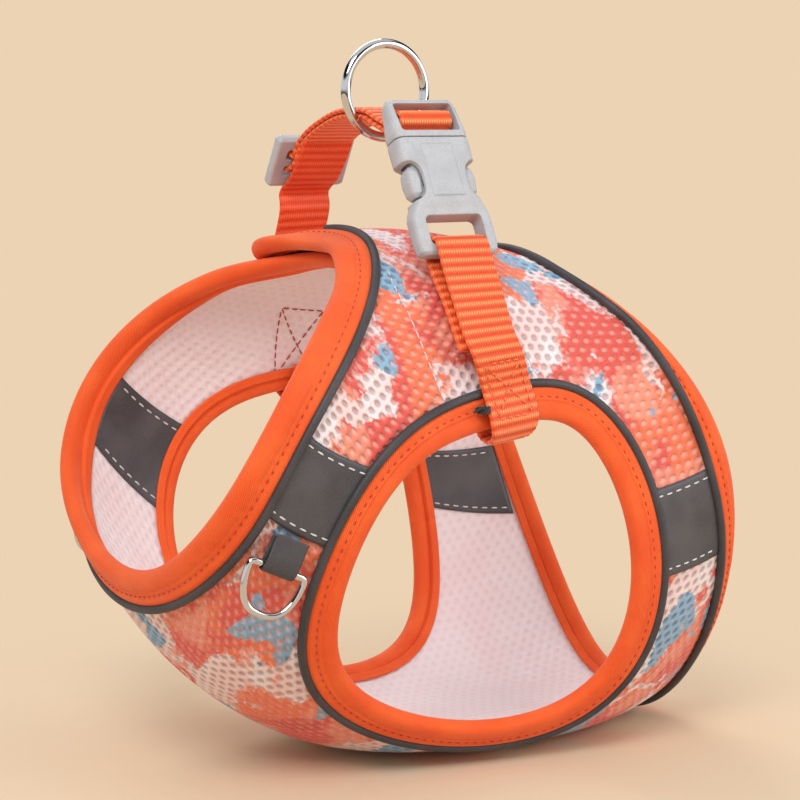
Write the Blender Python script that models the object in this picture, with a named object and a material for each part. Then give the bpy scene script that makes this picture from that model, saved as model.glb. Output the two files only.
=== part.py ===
"""Step-in no pull harness for a small dog: a soft mesh vest with a buckled back strap.

Metres, +Z up. The wearer faces -X, its left side is at -Y, and the belly panel rests on Z = 0.
The vest is a tube with a neck opening, a waist opening and two armholes. Its surface is a
formula: body_point(u, v) runs from the neck edge (u = 0) to the waist edge (u = 1), and v is
the angle from the middle of the back (0) down the left side to the middle of the belly (pi).
"""

import math

import bmesh
import bpy
import numpy as np

# Frame: what is taken off the design's own coordinates so that the box is centred on the origin
DESIGN_X = 0.01452
DESIGN_Z = -0.0949

# Vest surface: side view of its top and bottom lines (x, z), Bezier control points
TOP_LINE = ((-0.0103, 0.0657), (0.0071, 0.0791), (0.0353, 0.0777), (0.0558, 0.0650))
BOTTOM_LINE = ((-0.0823, -0.0314), (-0.0605, -0.0860), (0.0274, -0.1210), (0.1086, -0.0894))
HALF_WIDTH = (0.0599, 0.0610, 0.0684, 0.0624)
BELLY_FLATNESS = (-0.0036, 0.0107, -0.0166, 0.0053)
RIM_SADDLE = (-0.0084, 0.0083)
REST_LEVEL = -0.0925
REST_SOFTNESS = 0.003

# Armhole edge in (u, v): centre, half sizes, and the harmonics (cos, sin) that shape it
ARM_CENTRE = (0.536, 1.855)
ARM_SIZE = (0.275, 0.686)
ARM_U_TERMS = ((1.0, -0.033), (-0.030, 0.005), (-0.016, 0.018))
ARM_V_TERMS = ((-0.038, 1.0), (-0.007, 0.038), (0.015, 0.053))

# Layers, as heights above the middle surface
GAP = 0.0003
MESH_LAYER = (0.0, 0.0018)
LINING_LAYER = (-0.0014, -0.0004)
STRIP_LAYER = (0.0022, 0.0028)
LOOP_PATCH_LAYER = (0.0021, 0.0036)
HOOK_PATCH_LAYER = (-0.0035, -0.0018)

# Back overlap: the left flap lies over the right one, which is pressed inwards
FLAP_REACH = 0.30
FLAP_FABRIC_END = -0.27
LEFT_FLAP_SHIFT = (0.0050, -0.0060, -0.0080, -0.0030)
FLAP_SPACING = 0.0075
FLAP_FLAT_TO = 0.38
FLAP_DOWN_BY = 0.90
PANEL_TOP = 0.98
PANEL_STEPS = 13
FLAP_ROWS = 15
BACK_COLUMNS = (0.0, 0.085, 0.19, 0.31, 0.44, 0.56, 0.69, 0.81, 0.915, 1.0)

# Binding: U-shaped edge tape, (distance past the edge line, height) round its section
FABRIC_EDGE = -0.0015
BINDING_SECTION = (
    (-0.0075, 0.0033), (-0.0075, 0.0038), (0.0000, 0.0041), (0.0045, 0.0038), (0.0078, 0.0008),
    (0.0070, -0.0022), (0.0020, -0.0034), (-0.0068, -0.0032), (-0.0068, -0.0023),
    (-0.0008, -0.0023), (-0.0008, 0.0033),
)
FLAP_BINDING_SECTION = (
    (-0.0065, 0.0024), (-0.0065, 0.0032), (0.0040, 0.0032), (0.0060, 0.0002),
    (0.0040, -0.0030), (-0.0065, -0.0030), (-0.0065, -0.0022), (-0.0010, -0.0022),
    (-0.0010, 0.0024),
)
PIPING_PLACE = (-0.0093, 0.0034)
PIPING_RADIUS = 0.0012
PIPING_SIDES = 5

# Reflective strips: angles v of the upper and lower edges, at the rim and at the armhole
FRONT_STRIP = ((1.60, 1.98), (1.58, 1.94))
REAR_STRIP = ((1.53, 1.86), (1.53, 1.83))
STRIP_END_GAP = 0.0112
STRIP_STEPS = (4, 4)

# Back strap, in a plane across the vest
WEB_WIDTH = 0.0190
WEB_THICK = 0.0014
WEB_LAYERS = 0.0010
ARCH_X = 0.0070
STRAP_BASE_ANGLE = 1.45 * math.pi

# Side-release buckle, along its own axis from the lower bar
BUCKLE_BASE = (ARCH_X, -0.0444, 0.0672)
BUCKLE_LEAN = math.radians(27.3)
SOCKET_PROFILE = (
    (0.0000, 0.0125, 0.0018), (0.0012, 0.0140, 0.0025), (0.0125, 0.0141, 0.0028),
    (0.0158, 0.0119, 0.0040), (0.0190, 0.0119, 0.0045), (0.0270, 0.0131, 0.0045),
    (0.0365, 0.0131, 0.0045), (0.0378, 0.0127, 0.0042),
)
PLUG_PROFILE = (
    (0.0381, 0.0127, 0.0042), (0.0394, 0.0131, 0.0044), (0.0420, 0.0130, 0.0040),
    (0.0500, 0.0124, 0.0027), (0.0515, 0.0112, 0.0018),
)
SLOT_WIDTH = 0.0204
SOCKET_SLOT = (0.0030, 0.0122)
SOCKET_BAR = 0.0015
PLUG_SLOT = (0.0412, 0.0492)
CROSSBAR = 0.0452
CROSSBAR_RADIUS = 0.0011
CAVITY_HALF = (0.0106, 0.0028)
CAVITY_FLOOR = 0.0168
WINDOW = (0.0076, 0.0182, 0.0302)
TONGUE = (0.0022, 0.0022, 0.0200)
PRONG_HALF_THICK = 0.0024
PRONG_HINGE = (0.0076, 0.0366)
PRONG_OUTLINE = (
    (0.0066, 0.0377), (0.0086, 0.0377), (0.0090, 0.0306), (0.0101, 0.0292), (0.0103, 0.0240),
    (0.0094, 0.0198), (0.0074, 0.0188), (0.0074, 0.0240), (0.0070, 0.0306),
)

# Rings and slider
O_RING_CENTRE = (ARCH_X, -0.0030, 0.1168)
O_RING_RADIUS = 0.0146
O_WIRE_RADIUS = 0.0014
SLIDER_CENTRE = (ARCH_X, 0.0444, 0.0941)
SLIDER_LEAN = math.radians(29.0)
SLIDER_HALF = (0.0146, 0.0017, 0.0098)
SLIDER_SLOT = (0.0102, 0.0022, 0.0080)
SLIDER_MID_BAR = 0.0012
D_RING_AT = (0.131, 2.10)
D_BAR_HEADING = (0.081, -0.084)
D_RING_HEIGHT = 0.0064
D_RING_HALF_WIDTH = 0.0090
D_RING_DROP = 0.0140
D_WIRE_RADIUS = 0.0011
TAB_WIDTH = 0.0100
TAB_THICK = 0.0006
TAB_TOP = 2.00


def bezier(points, t):
    """Cubic Bezier of scalar or paired control values at parameter t."""
    p = np.asarray(points, float)
    s = 1.0 - t
    return s**3 * p[0] + 3 * t * s * s * p[1] + 3 * t * t * s * p[2] + t**3 * p[3]


def smooth_step(x):
    x = min(max(x, 0.0), 1.0)
    return x * x * (3.0 - 2.0 * x)


def body_point(u, v):
    """Point of the vest's middle surface."""
    top = bezier(TOP_LINE, u)
    bottom = bezier(BOTTOM_LINE, u)
    centre = (top + bottom) / 2
    axis = (top - bottom) / 2
    across = np.array((-axis[1], axis[0])) / math.hypot(axis[0], axis[1])
    saddle = RIM_SADDLE[0] * (1 - u) + RIM_SADDLE[1] * u
    x, z = centre + axis * math.cos(v) + across * saddle * (math.cos(2 * v) - 1)
    y = -(bezier(HALF_WIDTH, u) * math.sin(v) + bezier(BELLY_FLATNESS, u) * math.sin(2 * v))
    z = REST_LEVEL + REST_SOFTNESS * np.logaddexp(0.0, (z - REST_LEVEL) / REST_SOFTNESS)
    return np.array((x - DESIGN_X, y, z - DESIGN_Z))


def unit(a):
    return a / np.linalg.norm(a)


def body_slopes(u, v):
    step = 1e-4
    along = (body_point(u + step, v) - body_point(u - step, v)) / (2 * step)
    around = (body_point(u, v + step) - body_point(u, v - step)) / (2 * step)
    return along, around


def body_normal(u, v):
    along, around = body_slopes(u, v)
    return unit(np.cross(around, along))


def flap_lift(u, v, side):
    """How far a flap stands above the middle surface, so that the left one clears the right one."""
    shift = bezier(LEFT_FLAP_SHIFT, u) - (0.0 if side > 0 else FLAP_SPACING)
    return shift * smooth_step((FLAP_DOWN_BY - v) / (FLAP_DOWN_BY - FLAP_FLAT_TO))


def place(u, v, height, side):
    """A point at a height above the surface: side is 1 on the left half, -1 on the right."""
    p = body_point(u, v) + body_normal(u, v) * (height + flap_lift(u, v, side))
    p[1] *= side
    return p


def arm_edge(angle):
    """The armhole's edge line in (u, v)."""
    u, v = ARM_CENTRE
    for k, (a, b) in enumerate(ARM_U_TERMS, 1):
        u += ARM_SIZE[0] * (a * math.cos(k * angle) + b * math.sin(k * angle))
    for k, (a, b) in enumerate(ARM_V_TERMS, 1):
        v += ARM_SIZE[1] * (a * math.cos(k * angle) + b * math.sin(k * angle))
    return u, v


def sideways(u, v, du, dv):
    """The (u, v) step of one metre on the surface, square to the direction (du, dv)."""
    along, around = body_slopes(u, v)
    normal = unit(np.cross(along, around))
    target = np.cross(normal, unit(along * du + around * dv))
    step, *_ = np.linalg.lstsq(np.stack((along, around), 1), target, rcond=None)
    return step


def arm_frame(angle):
    """(u, v) on the armhole's edge line and the unit step that leads into the opening."""
    u, v = arm_edge(angle)
    u2, v2 = arm_edge(angle + 1e-3)
    step = sideways(u, v, u2 - u, v2 - v)
    towards = (ARM_CENTRE[0] - u) * step[0] / 0.08 + (ARM_CENTRE[1] - v) * step[1]
    return (u, v), step if towards > 0 else -step


def rim_frame(u, v):
    """(u, v) on the neck or waist edge line and the unit step that leads out past the edge."""
    step = sideways(u, v, 0.0, 1.0)
    outward = -1.0 if u < 0.5 else 1.0
    return (u, v), step if step[0] * outward > 0 else -step


# Materials


def material(name, colour, roughness, metallic=0.0):
    mat = bpy.data.materials.new(name)
    mat.use_nodes = True
    shader = mat.node_tree.nodes["Principled BSDF"]
    shader.inputs["Base Color"].default_value = (*colour, 1.0)
    shader.inputs["Roughness"].default_value = roughness
    shader.inputs["Metallic"].default_value = metallic
    mat.diffuse_color = (*colour, 1.0)
    return mat


def finish_object(obj, mat, smooth_angle=40.0):
    obj.data.materials.append(mat)
    obj.data.shade_smooth()
    obj.data.set_sharp_from_angle(angle=math.radians(smooth_angle))
    return obj


def mesh_object(name, verts, faces, mat, origin=(0.0, 0.0, 0.0)):
    """A closed mesh as an object whose origin is at the given place."""
    mesh = bpy.data.meshes.new(name)
    at = np.asarray(origin, float)
    mesh.from_pydata([tuple(np.asarray(p) - at) for p in verts], [], faces)
    bm = bmesh.new()
    bm.from_mesh(mesh)
    bmesh.ops.recalc_face_normals(bm, faces=bm.faces)
    bm.to_mesh(mesh)
    bm.free()
    obj = bpy.data.objects.new(name, mesh)
    obj.location = origin
    bpy.context.scene.collection.objects.link(obj)
    return finish_object(obj, mat)


# Cloth panels


def thick_sheet(name, sites, quads, layer, side, mat):
    """A closed sheet: the quads over (u, v) sites at both heights of the layer, joined at their edges."""
    count = len(sites)
    verts = [place(u, v, h, side) for h in layer for u, v in sites]
    corners = [t for a, b, c, d in quads for t in ((a, b, c), (a, c, d))]
    faces = corners + [tuple(count + i for i in reversed(t)) for t in corners]
    edges = {pair for t in corners for pair in zip(t, t[1:] + t[:1])}
    for a, b in sorted(edges):
        if (b, a) not in edges:
            faces.append((b, a, count + a, count + b))
    return mesh_object(name, verts, faces, mat)


def grid_quads(rows, columns, base=0):
    """Quads of a rows x columns grid of sites numbered row by row from base."""
    return [
        (base + r * columns + c, base + r * columns + c + 1, base + (r + 1) * columns + c + 1,
         base + (r + 1) * columns + c)
        for r in range(rows - 1) for c in range(columns - 1)
    ]


def rim_inset(u, v, distance):
    """u of the point that lies the distance inside the neck or waist edge line."""
    along, around = body_slopes(u, v)
    spacing = np.linalg.norm(np.cross(along, around)) / np.linalg.norm(around)
    return u + (1 if u < 0.5 else -1) * distance / spacing


def panel_border():
    """Outer border of the side panel: neck edge down, belly line back, waist edge up, back line forward."""
    down = panel_angles()
    neck = [(rim_inset(0.0, v, -FABRIC_EDGE), v) for v in down]
    waist = [(rim_inset(1.0, v, -FABRIC_EDGE), v) for v in reversed(down)]
    belly = [(neck[-1][0] + (waist[0][0] - neck[-1][0]) * i / 11, math.pi) for i in range(1, 11)]
    back = [(waist[-1][0] + (neck[0][0] - waist[-1][0]) * t, PANEL_TOP) for t in BACK_COLUMNS[1:-1]]
    return neck + belly + waist + back, len(neck) + len(belly) + len(waist)


def side_panel():
    """Sites and quads of one half of the vest: rings round the armhole, then rows up to the flap's edge."""
    border, back_start = panel_border()
    ring_count = len(border)
    sites = []
    for outer in border:
        angle = math.atan2(
            (outer[1] - ARM_CENTRE[1]) / ARM_SIZE[1], (outer[0] - ARM_CENTRE[0]) / ARM_SIZE[0]
        )
        (u, v), step = arm_frame(angle)
        inner = np.array((u, v)) + step * FABRIC_EDGE
        span = np.array(outer) - inner
        length = np.linalg.norm(place(*outer, 0.0, 1) - place(*inner, 0.0, 1))
        first = min(0.0075 / length, 0.3)
        for r in (0.0, first, 0.5, 1.0 - first, 1.0):
            sites.append(tuple(inner + span * r))
    quads = []
    for i in range(ring_count):
        j = (i + 1) % ring_count
        for r in range(4):
            quads.append((5 * i + r, 5 * i + r + 1, 5 * j + r + 1, 5 * j + r))
    row = [5 * i + 4 for i in range(back_start - 1, ring_count)] + [4]
    for v in flap_angles():
        low, high = (rim_inset(u, v, -FABRIC_EDGE) for u in (0.0, 1.0))
        last = len(row) - 1
        new_row = []
        for t in BACK_COLUMNS:
            new_row.append(len(sites))
            sites.append((high + (low - high) * t, v))
        for c in range(last):
            quads.append((row[c + 1], row[c], new_row[c], new_row[c + 1]))
        row = new_row
    return sites, quads


def strip_sites(angles_at_arm, angles_at_rim, rim_u):
    """Sites of a reflective strip between the armhole's piping and the rim's piping."""
    steps_long, steps_wide = STRIP_STEPS
    sites = []
    for i in range(steps_wide + 1):
        t = i / steps_wide
        v_rim = angles_at_rim[0] + (angles_at_rim[1] - angles_at_rim[0]) * t
        v_arm = angles_at_arm[0] + (angles_at_arm[1] - angles_at_arm[0]) * t
        end = np.array((rim_inset(rim_u, v_rim, STRIP_END_GAP), v_rim))
        start = arm_site_at(v_arm, rim_u < 0.5)
        for k in range(steps_long + 1):
            sites.append(tuple(start + (end - start) * k / steps_long))
    return sites


def arm_site_at(v_wanted, in_front):
    """The site just outside the armhole's piping at the given v, on its front or rear edge."""
    low, high = (math.pi / 2, 3 * math.pi / 2) if in_front else (-math.pi / 2, math.pi / 2)
    for _ in range(40):
        middle = (low + high) / 2
        (u, v), step = arm_frame(middle)
        site = np.array((u, v)) - step * STRIP_END_GAP
        falls = site[1] > v_wanted
        if falls != in_front:
            high = middle
        else:
            low = middle
    return site


# Edge bindings and piping


def sweep(name, rings, closed, mat, origin=(0.0, 0.0, 0.0)):
    """A closed solid through the rings of points, joined end to end or capped."""
    size = len(rings[0])
    verts = [p for ring in rings for p in ring]
    faces = []
    count = len(rings)
    for i in range(count if closed else count - 1):
        a, b = i * size, ((i + 1) % count) * size
        for k in range(size):
            m = (k + 1) % size
            faces.append((a + k, a + m, b + m, b + k))
    if not closed:
        faces.append(tuple(range(size)))
        faces.append(tuple(reversed(range((count - 1) * size, count * size))))
    return mesh_object(name, verts, faces, mat, origin)


def section_ring(frame, section, side):
    """The section placed at one edge-line frame."""
    (u, v), step = frame
    return [place(u + step[0] * s, v + step[1] * s, h, side) for s, h in section]


def round_section(place_at, radius, sides):
    turn = 2 * math.pi / sides
    return [
        (place_at[0] + radius * math.cos(i * turn), place_at[1] + radius * math.sin(i * turn))
        for i in range(sides)
    ]


def panel_angles():
    """The angles v of the side panel's border points, from its top to the belly line."""
    return [PANEL_TOP + (math.pi - PANEL_TOP) * i / PANEL_STEPS for i in range(PANEL_STEPS + 1)]


def flap_angles():
    """The angles v of the flap's rows, from the side panel's top to the flap's fabric edge."""
    return [PANEL_TOP + (FLAP_FABRIC_END - PANEL_TOP) * k / FLAP_ROWS for k in range(1, FLAP_ROWS + 1)]


def rim_rings(u, section, first_angle):
    """Section rings along a rim, from the left flap's corner under the belly to the right flap's."""
    angles = [v for v in (*flap_angles()[::-1], *panel_angles()) if v > first_angle]
    angles.insert(0, first_angle)
    stations = [(v, 1) for v in angles] + [(v, -1) for v in angles[-2::-1]]
    return [section_ring(rim_frame(u, v), section, side) for v, side in stations]


def make_rims(mats):
    """Neck and waist bindings with their piping, open rings from one flap's corner to the other's."""
    piping = round_section(PIPING_PLACE, PIPING_RADIUS, PIPING_SIDES)
    for name, u in (("neck", 0.0), ("waist", 1.0)):
        rings = rim_rings(u, BINDING_SECTION, -FLAP_REACH + 0.012)
        sweep(f"{name}_binding", rings, False, mats["binding"])
        rings = rim_rings(u, piping, -FLAP_REACH + 0.155)
        sweep(f"{name}_piping", rings, False, mats["piping"])


def make_armholes(side, label, mats):
    count = 44
    frames = [arm_frame(2 * math.pi * i / count) for i in range(count)]
    rings = [section_ring(f, BINDING_SECTION, side) for f in frames]
    sweep(f"{label}_armhole_binding", rings, True, mats["binding"])
    section = round_section(PIPING_PLACE, PIPING_RADIUS, PIPING_SIDES)
    rings = [section_ring(f, section, side) for f in frames]
    sweep(f"{label}_armhole_piping", rings, True, mats["piping"])


def make_flap_edges(mats):
    """The binding along each flap's free edge, between the neck and waist bindings' ends."""
    count = 12
    low, high = (rim_inset(u, -FLAP_REACH, 0.0110) for u in (0.0, 1.0))
    for side, label in ((1, "left"), (-1, "right")):
        rings = []
        for i in range(count):
            u = low + (high - low) * i / (count - 1)
            step = sideways(u, -FLAP_REACH, 1.0, 0.0)
            frame = ((u, -FLAP_REACH), step if step[1] < 0 else -step)
            rings.append(section_ring(frame, FLAP_BINDING_SECTION, side))
        sweep(f"{label}_flap_binding", rings, False, mats["binding"])


def make_patches(mats):
    """Hook patch under the left flap, loop patch on the right flap, facing each other."""
    rows, columns = 7, 6
    for name, layer, side in (("hook_patch", HOOK_PATCH_LAYER, 1), ("loop_patch", LOOP_PATCH_LAYER, -1)):
        sites = [
            (0.22 + 0.56 * c / (columns - 1), -0.16 + 0.32 * r / (rows - 1))
            for r in range(rows) for c in range(columns)
        ]
        thick_sheet(name, sites, grid_quads(rows, columns), layer, side, mats["patch"])


# Webbing


def design(x, y, z):
    """A point given in the design's coordinates, in the part's frame."""
    return np.array((x - DESIGN_X, y, z - DESIGN_Z))


def ribbon(name, centres, across, width, thick, closed, mat):
    """A flat band through the centres, its width along the across vectors."""
    count = len(centres)
    rings = []
    for i in range(count):
        before = centres[i - 1] if closed or i else centres[0]
        after = centres[(i + 1) % count] if closed or i + 1 < count else centres[-1]
        wide = unit(across[i])
        normal = unit(np.cross(after - before, wide))
        rings.append([
            centres[i] + wide * width / 2 * a + normal * thick / 2 * b
            for a, b in ((-1, -1), (1, -1), (1, 1), (-1, 1))
        ])
    return sweep(name, rings, closed, mat)


def smooth_path(points, steps):
    """A Catmull-Rom curve through the points."""
    pts = [2 * points[0] - points[1], *points, 2 * points[-1] - points[-2]]
    out = []
    for i in range(1, len(pts) - 2):
        a, b, c, d = pts[i - 1:i + 3]
        for k in range(steps):
            t = k / steps
            out.append((2 * b + (c - a) * t + (2 * a - 5 * b + 4 * c - d) * t**2
                        + (3 * b - a - 3 * c + d) * t**3) / 2)
    return [*out, points[-1]]


def band_loop(spine, spread, end_radii, turns=6):
    """A closed path round two bars: the spine's two sides and a half turn about each end."""
    n = len(spine)
    left, right = [], []
    for i, p in enumerate(spine):
        ahead = unit(spine[min(i + 1, n - 1)] - spine[max(i - 1, 0)])
        normal = np.array((0.0, -ahead[2], ahead[1]))
        start = smooth_step(i / 3)
        stop = smooth_step((n - 1 - i) / 3)
        half = spread + (end_radii[0] - spread) * (1 - start) + (end_radii[1] - spread) * (1 - stop)
        left.append(p + normal * half)
        right.append(p - normal * half)
    caps = []
    for centre, edge, radius in ((spine[-1], left[-1], end_radii[1]), (spine[0], right[0], end_radii[0])):
        first = unit(edge - centre)
        turn_way = np.array((0.0, first[2], -first[1]))
        caps.append([
            centre + radius * (first * math.cos(a) + turn_way * math.sin(a))
            for a in (math.pi * k / turns for k in range(1, turns))
        ])
    return left + caps[0] + right[::-1] + caps[1]


def buckle_point(x, y, z):
    """A point given along the buckle's own axes, in the part's frame."""
    c, s = math.cos(BUCKLE_LEAN), math.sin(BUCKLE_LEAN)
    bx, by, bz = BUCKLE_BASE
    return design(bx + x, by + y * c + z * s, bz - y * s + z * c)


def slider_point(y, z):
    """A point given along the slider's own axes, in the part's frame."""
    c, s = math.cos(SLIDER_LEAN), math.sin(SLIDER_LEAN)
    sx, sy, sz = SLIDER_CENTRE
    return design(sx, sy + y * c - z * s, sz + y * s + z * c)


def strap_base(side, stations):
    """Points round the armhole's bound edge under the strap, and the direction across the strap."""
    (u, v), step = arm_frame(STRAP_BASE_ANGLE)
    points = [place(u + step[0] * d, v + step[1] * d, h, side) for d, h in stations]
    (u2, v2), _ = arm_frame(STRAP_BASE_ANGLE + 0.02)
    return points, unit(place(u2, v2, 0.0, side) - place(u, v, 0.0, side))


def single_strap(name, side, upper_points, mat):
    """Webbing from inside the armhole's edge, round its binding and up the flank."""
    stations = ((-0.0080, -0.0052), (0.0010, -0.0055), (0.0078, -0.0050), (0.0102, -0.0004),
                (0.0080, 0.0050), (0.0010, 0.0055), (-0.0085, 0.0062))
    low, sideways_there = strap_base(side, stations)
    path = smooth_path([*low, *upper_points], 3)
    last = len(path) - 1
    plain = np.array((1.0, 0.0, 0.0))
    if sideways_there[0] < 0:
        sideways_there = -sideways_there
    across = []
    for i in range(last + 1):
        t = smooth_step((i - 18) / (last - 18))
        across.append(sideways_there * (1 - t) + plain * t)
    return ribbon(name, path, across, WEB_WIDTH, WEB_THICK, False, mat)


def make_straps(mats):
    plain = np.array((1.0, 0.0, 0.0))
    bar = buckle_point(0.0, 0.0, SOCKET_BAR)
    lower = [design(ARCH_X, -0.0536, 0.0548), design(ARCH_X, -0.0598, 0.0440)]
    spine = smooth_path([bar, buckle_point(0.0, -0.0012, -0.0070), *lower], 4)
    loop = band_loop(spine, WEB_LAYERS, (0.0038, WEB_LAYERS))
    ribbon("near_strap_loop", loop, [plain] * len(loop), WEB_WIDTH, WEB_THICK, True, mats["webbing"])
    single_strap("near_strap_end", 1, [design(0.0095, -0.0645, 0.0330), design(0.0085, -0.0622, 0.0398)],
                 mats["webbing"])
    crossbar = buckle_point(0.0, 0.0, CROSSBAR)
    spine = smooth_path([
        crossbar, buckle_point(0.0, 0.0050, CROSSBAR), design(ARCH_X, -0.0110, 0.1072),
        design(ARCH_X, -0.0030, 0.1096), design(ARCH_X, 0.0120, 0.1092), design(ARCH_X, 0.0270, 0.1045),
        slider_point(-0.0050, 0.0090), slider_point(-0.0040, 0.0025), slider_point(0.0, 0.0),
    ], 3)
    loop = band_loop(spine, WEB_LAYERS, (0.0026, 0.0031))
    ribbon("top_strap", loop, [plain] * len(loop), WEB_WIDTH, WEB_THICK, True, mats["webbing"])
    single_strap("far_strap", -1, [
        design(0.0090, 0.0612, 0.0420), design(ARCH_X, 0.0530, 0.0620), design(ARCH_X, 0.0462, 0.0800),
    ], mats["webbing"])


# Buckle, slider and rings


def rounded_ring(half_x, half_y, z, corner=0.0016, steps=3):
    """A rounded rectangle at height z."""
    ring = []
    for sx, sy, start in ((1, 1, 0), (-1, 1, 1), (-1, -1, 2), (1, -1, 3)):
        for k in range(steps):
            a = math.pi / 2 * (start + k / (steps - 1))
            ring.append((sx * (half_x - corner) + corner * math.cos(a),
                         sy * (half_y - corner) + corner * math.sin(a), z))
    return ring


def cutter(name, half, centre, like):
    """A hidden box in the frame of the object it cuts."""
    bm = bmesh.new()
    bmesh.ops.create_cube(bm, size=2.0)
    bmesh.ops.scale(bm, vec=half, verts=bm.verts)
    bmesh.ops.translate(bm, vec=centre, verts=bm.verts)
    mesh = bpy.data.meshes.new(name)
    bm.to_mesh(mesh)
    bm.free()
    obj = bpy.data.objects.new(name, mesh)
    obj.location = like.location
    obj.rotation_euler = like.rotation_euler
    obj.hide_render = True
    obj.display_type = "WIRE"
    bpy.context.scene.collection.objects.link(obj)
    return obj


def cut(obj, tools, operation="DIFFERENCE"):
    for tool in tools:
        boolean = obj.modifiers.new(tool.name, "BOOLEAN")
        boolean.operation = operation
        boolean.solver = "EXACT"
        boolean.object = tool


def leaning(obj, origin, lean):
    """Sets an object's origin in the part's frame and leans it back about X."""
    obj.location = tuple(origin)
    obj.rotation_euler = (-lean, 0.0, 0.0)
    return obj


def box_between(name, x, y, z, like):
    half = [(b - a) / 2 for a, b in (x, y, z)]
    centre = [(a + b) / 2 for a, b in (x, y, z)]
    return cutter(name, half, centre, like)


def make_buckle(mats):
    origin = design(*BUCKLE_BASE)
    deep = 0.0200
    socket = sweep("buckle_socket", [rounded_ring(hx, hy, z) for z, hx, hy in SOCKET_PROFILE], False,
                   mats["plastic"])
    leaning(socket, origin, BUCKLE_LEAN)
    half = SLOT_WIDTH / 2
    cx, cy = CAVITY_HALF
    inner, low, high = WINDOW
    cut(socket, [
        box_between("cut_socket_slot", (-half, half), (-deep, deep), SOCKET_SLOT, socket),
        box_between("cut_cavity", (-cx, cx), (-cy, cy), (CAVITY_FLOOR, 0.0500), socket),
        box_between("cut_window_left", (-deep, -inner), (-deep, deep), (low, high), socket),
        box_between("cut_window_right", (inner, deep), (-deep, deep), (low, high), socket),
    ])
    plug = sweep("buckle_plug", [rounded_ring(hx, hy, z) for z, hx, hy in PLUG_PROFILE], False,
                 mats["plastic"])
    leaning(plug, origin, BUCKLE_LEAN)
    cut(plug, [box_between("cut_plug_slot", (-half, half), (-deep, deep), PLUG_SLOT, plug)])
    tx, ty, tz = TONGUE
    bar = box_between("add_crossbar", (-half - 0.001, half + 0.001), (-CROSSBAR_RADIUS, CROSSBAR_RADIUS),
                      (CROSSBAR - CROSSBAR_RADIUS, CROSSBAR + CROSSBAR_RADIUS), plug)
    tongue = box_between("add_tongue", (-tx, tx), (-ty, ty), (tz, 0.0390), plug)
    cut(plug, [bar, tongue], "UNION")
    for sign, label in ((-1, "front"), (1, "rear")):
        px, pz = PRONG_HINGE
        outline = [(sign * x - sign * px, z - pz) for x, z in PRONG_OUTLINE]
        rings = [[(x, y, z) for x, z in outline] for y in (-PRONG_HALF_THICK, PRONG_HALF_THICK)]
        prong = sweep(f"{label}_prong", rings, False, mats["plastic"])
        leaning(prong, buckle_point(sign * px, 0.0, pz), BUCKLE_LEAN)


def make_slider(mats):
    hx, hy, hz = SLIDER_HALF
    edge = 0.0008
    rings = [rounded_ring(hx - edge, hy - edge, -hz, 0.0005), rounded_ring(hx, hy, -hz + edge, 0.0008),
             rounded_ring(hx, hy, hz - edge, 0.0008), rounded_ring(hx - edge, hy - edge, hz, 0.0005)]
    slider = sweep("slider", rings, False, mats["plastic"])
    leaning(slider, design(*SLIDER_CENTRE), -SLIDER_LEAN)
    sx, near, far = SLIDER_SLOT
    deep = 0.0200
    cut(slider, [
        box_between("cut_slider_low", (-sx, sx), (-deep, deep), (-far, -SLIDER_MID_BAR), slider),
        box_between("cut_slider_high", (-sx, sx), (-deep, deep), (SLIDER_MID_BAR, far), slider),
    ])


def tube(name, centres, plane_normal, radius, sides, mat, origin):
    """A closed wire through the centres, which lie in one plane."""
    count = len(centres)
    rings = []
    for i in range(count):
        ahead = unit(centres[(i + 1) % count] - centres[i - 1])
        outward = np.cross(ahead, plane_normal)
        rings.append([
            centres[i] + radius * (outward * math.cos(a) + plane_normal * math.sin(a))
            for a in (2 * math.pi * k / sides for k in range(sides))
        ])
    return sweep(name, rings, True, mat, origin)


def make_o_ring(mats):
    centre = design(*O_RING_CENTRE)
    points = [
        centre + O_RING_RADIUS * np.array((math.cos(a), 0.0, math.sin(a)))
        for a in (2 * math.pi * k / 32 for k in range(32))
    ]
    pivot = centre - np.array((0.0, 0.0, 0.0072))
    tube("o_ring", points, np.array((0.0, 1.0, 0.0)), O_WIRE_RADIUS, 8, mats["chrome"], pivot)


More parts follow.
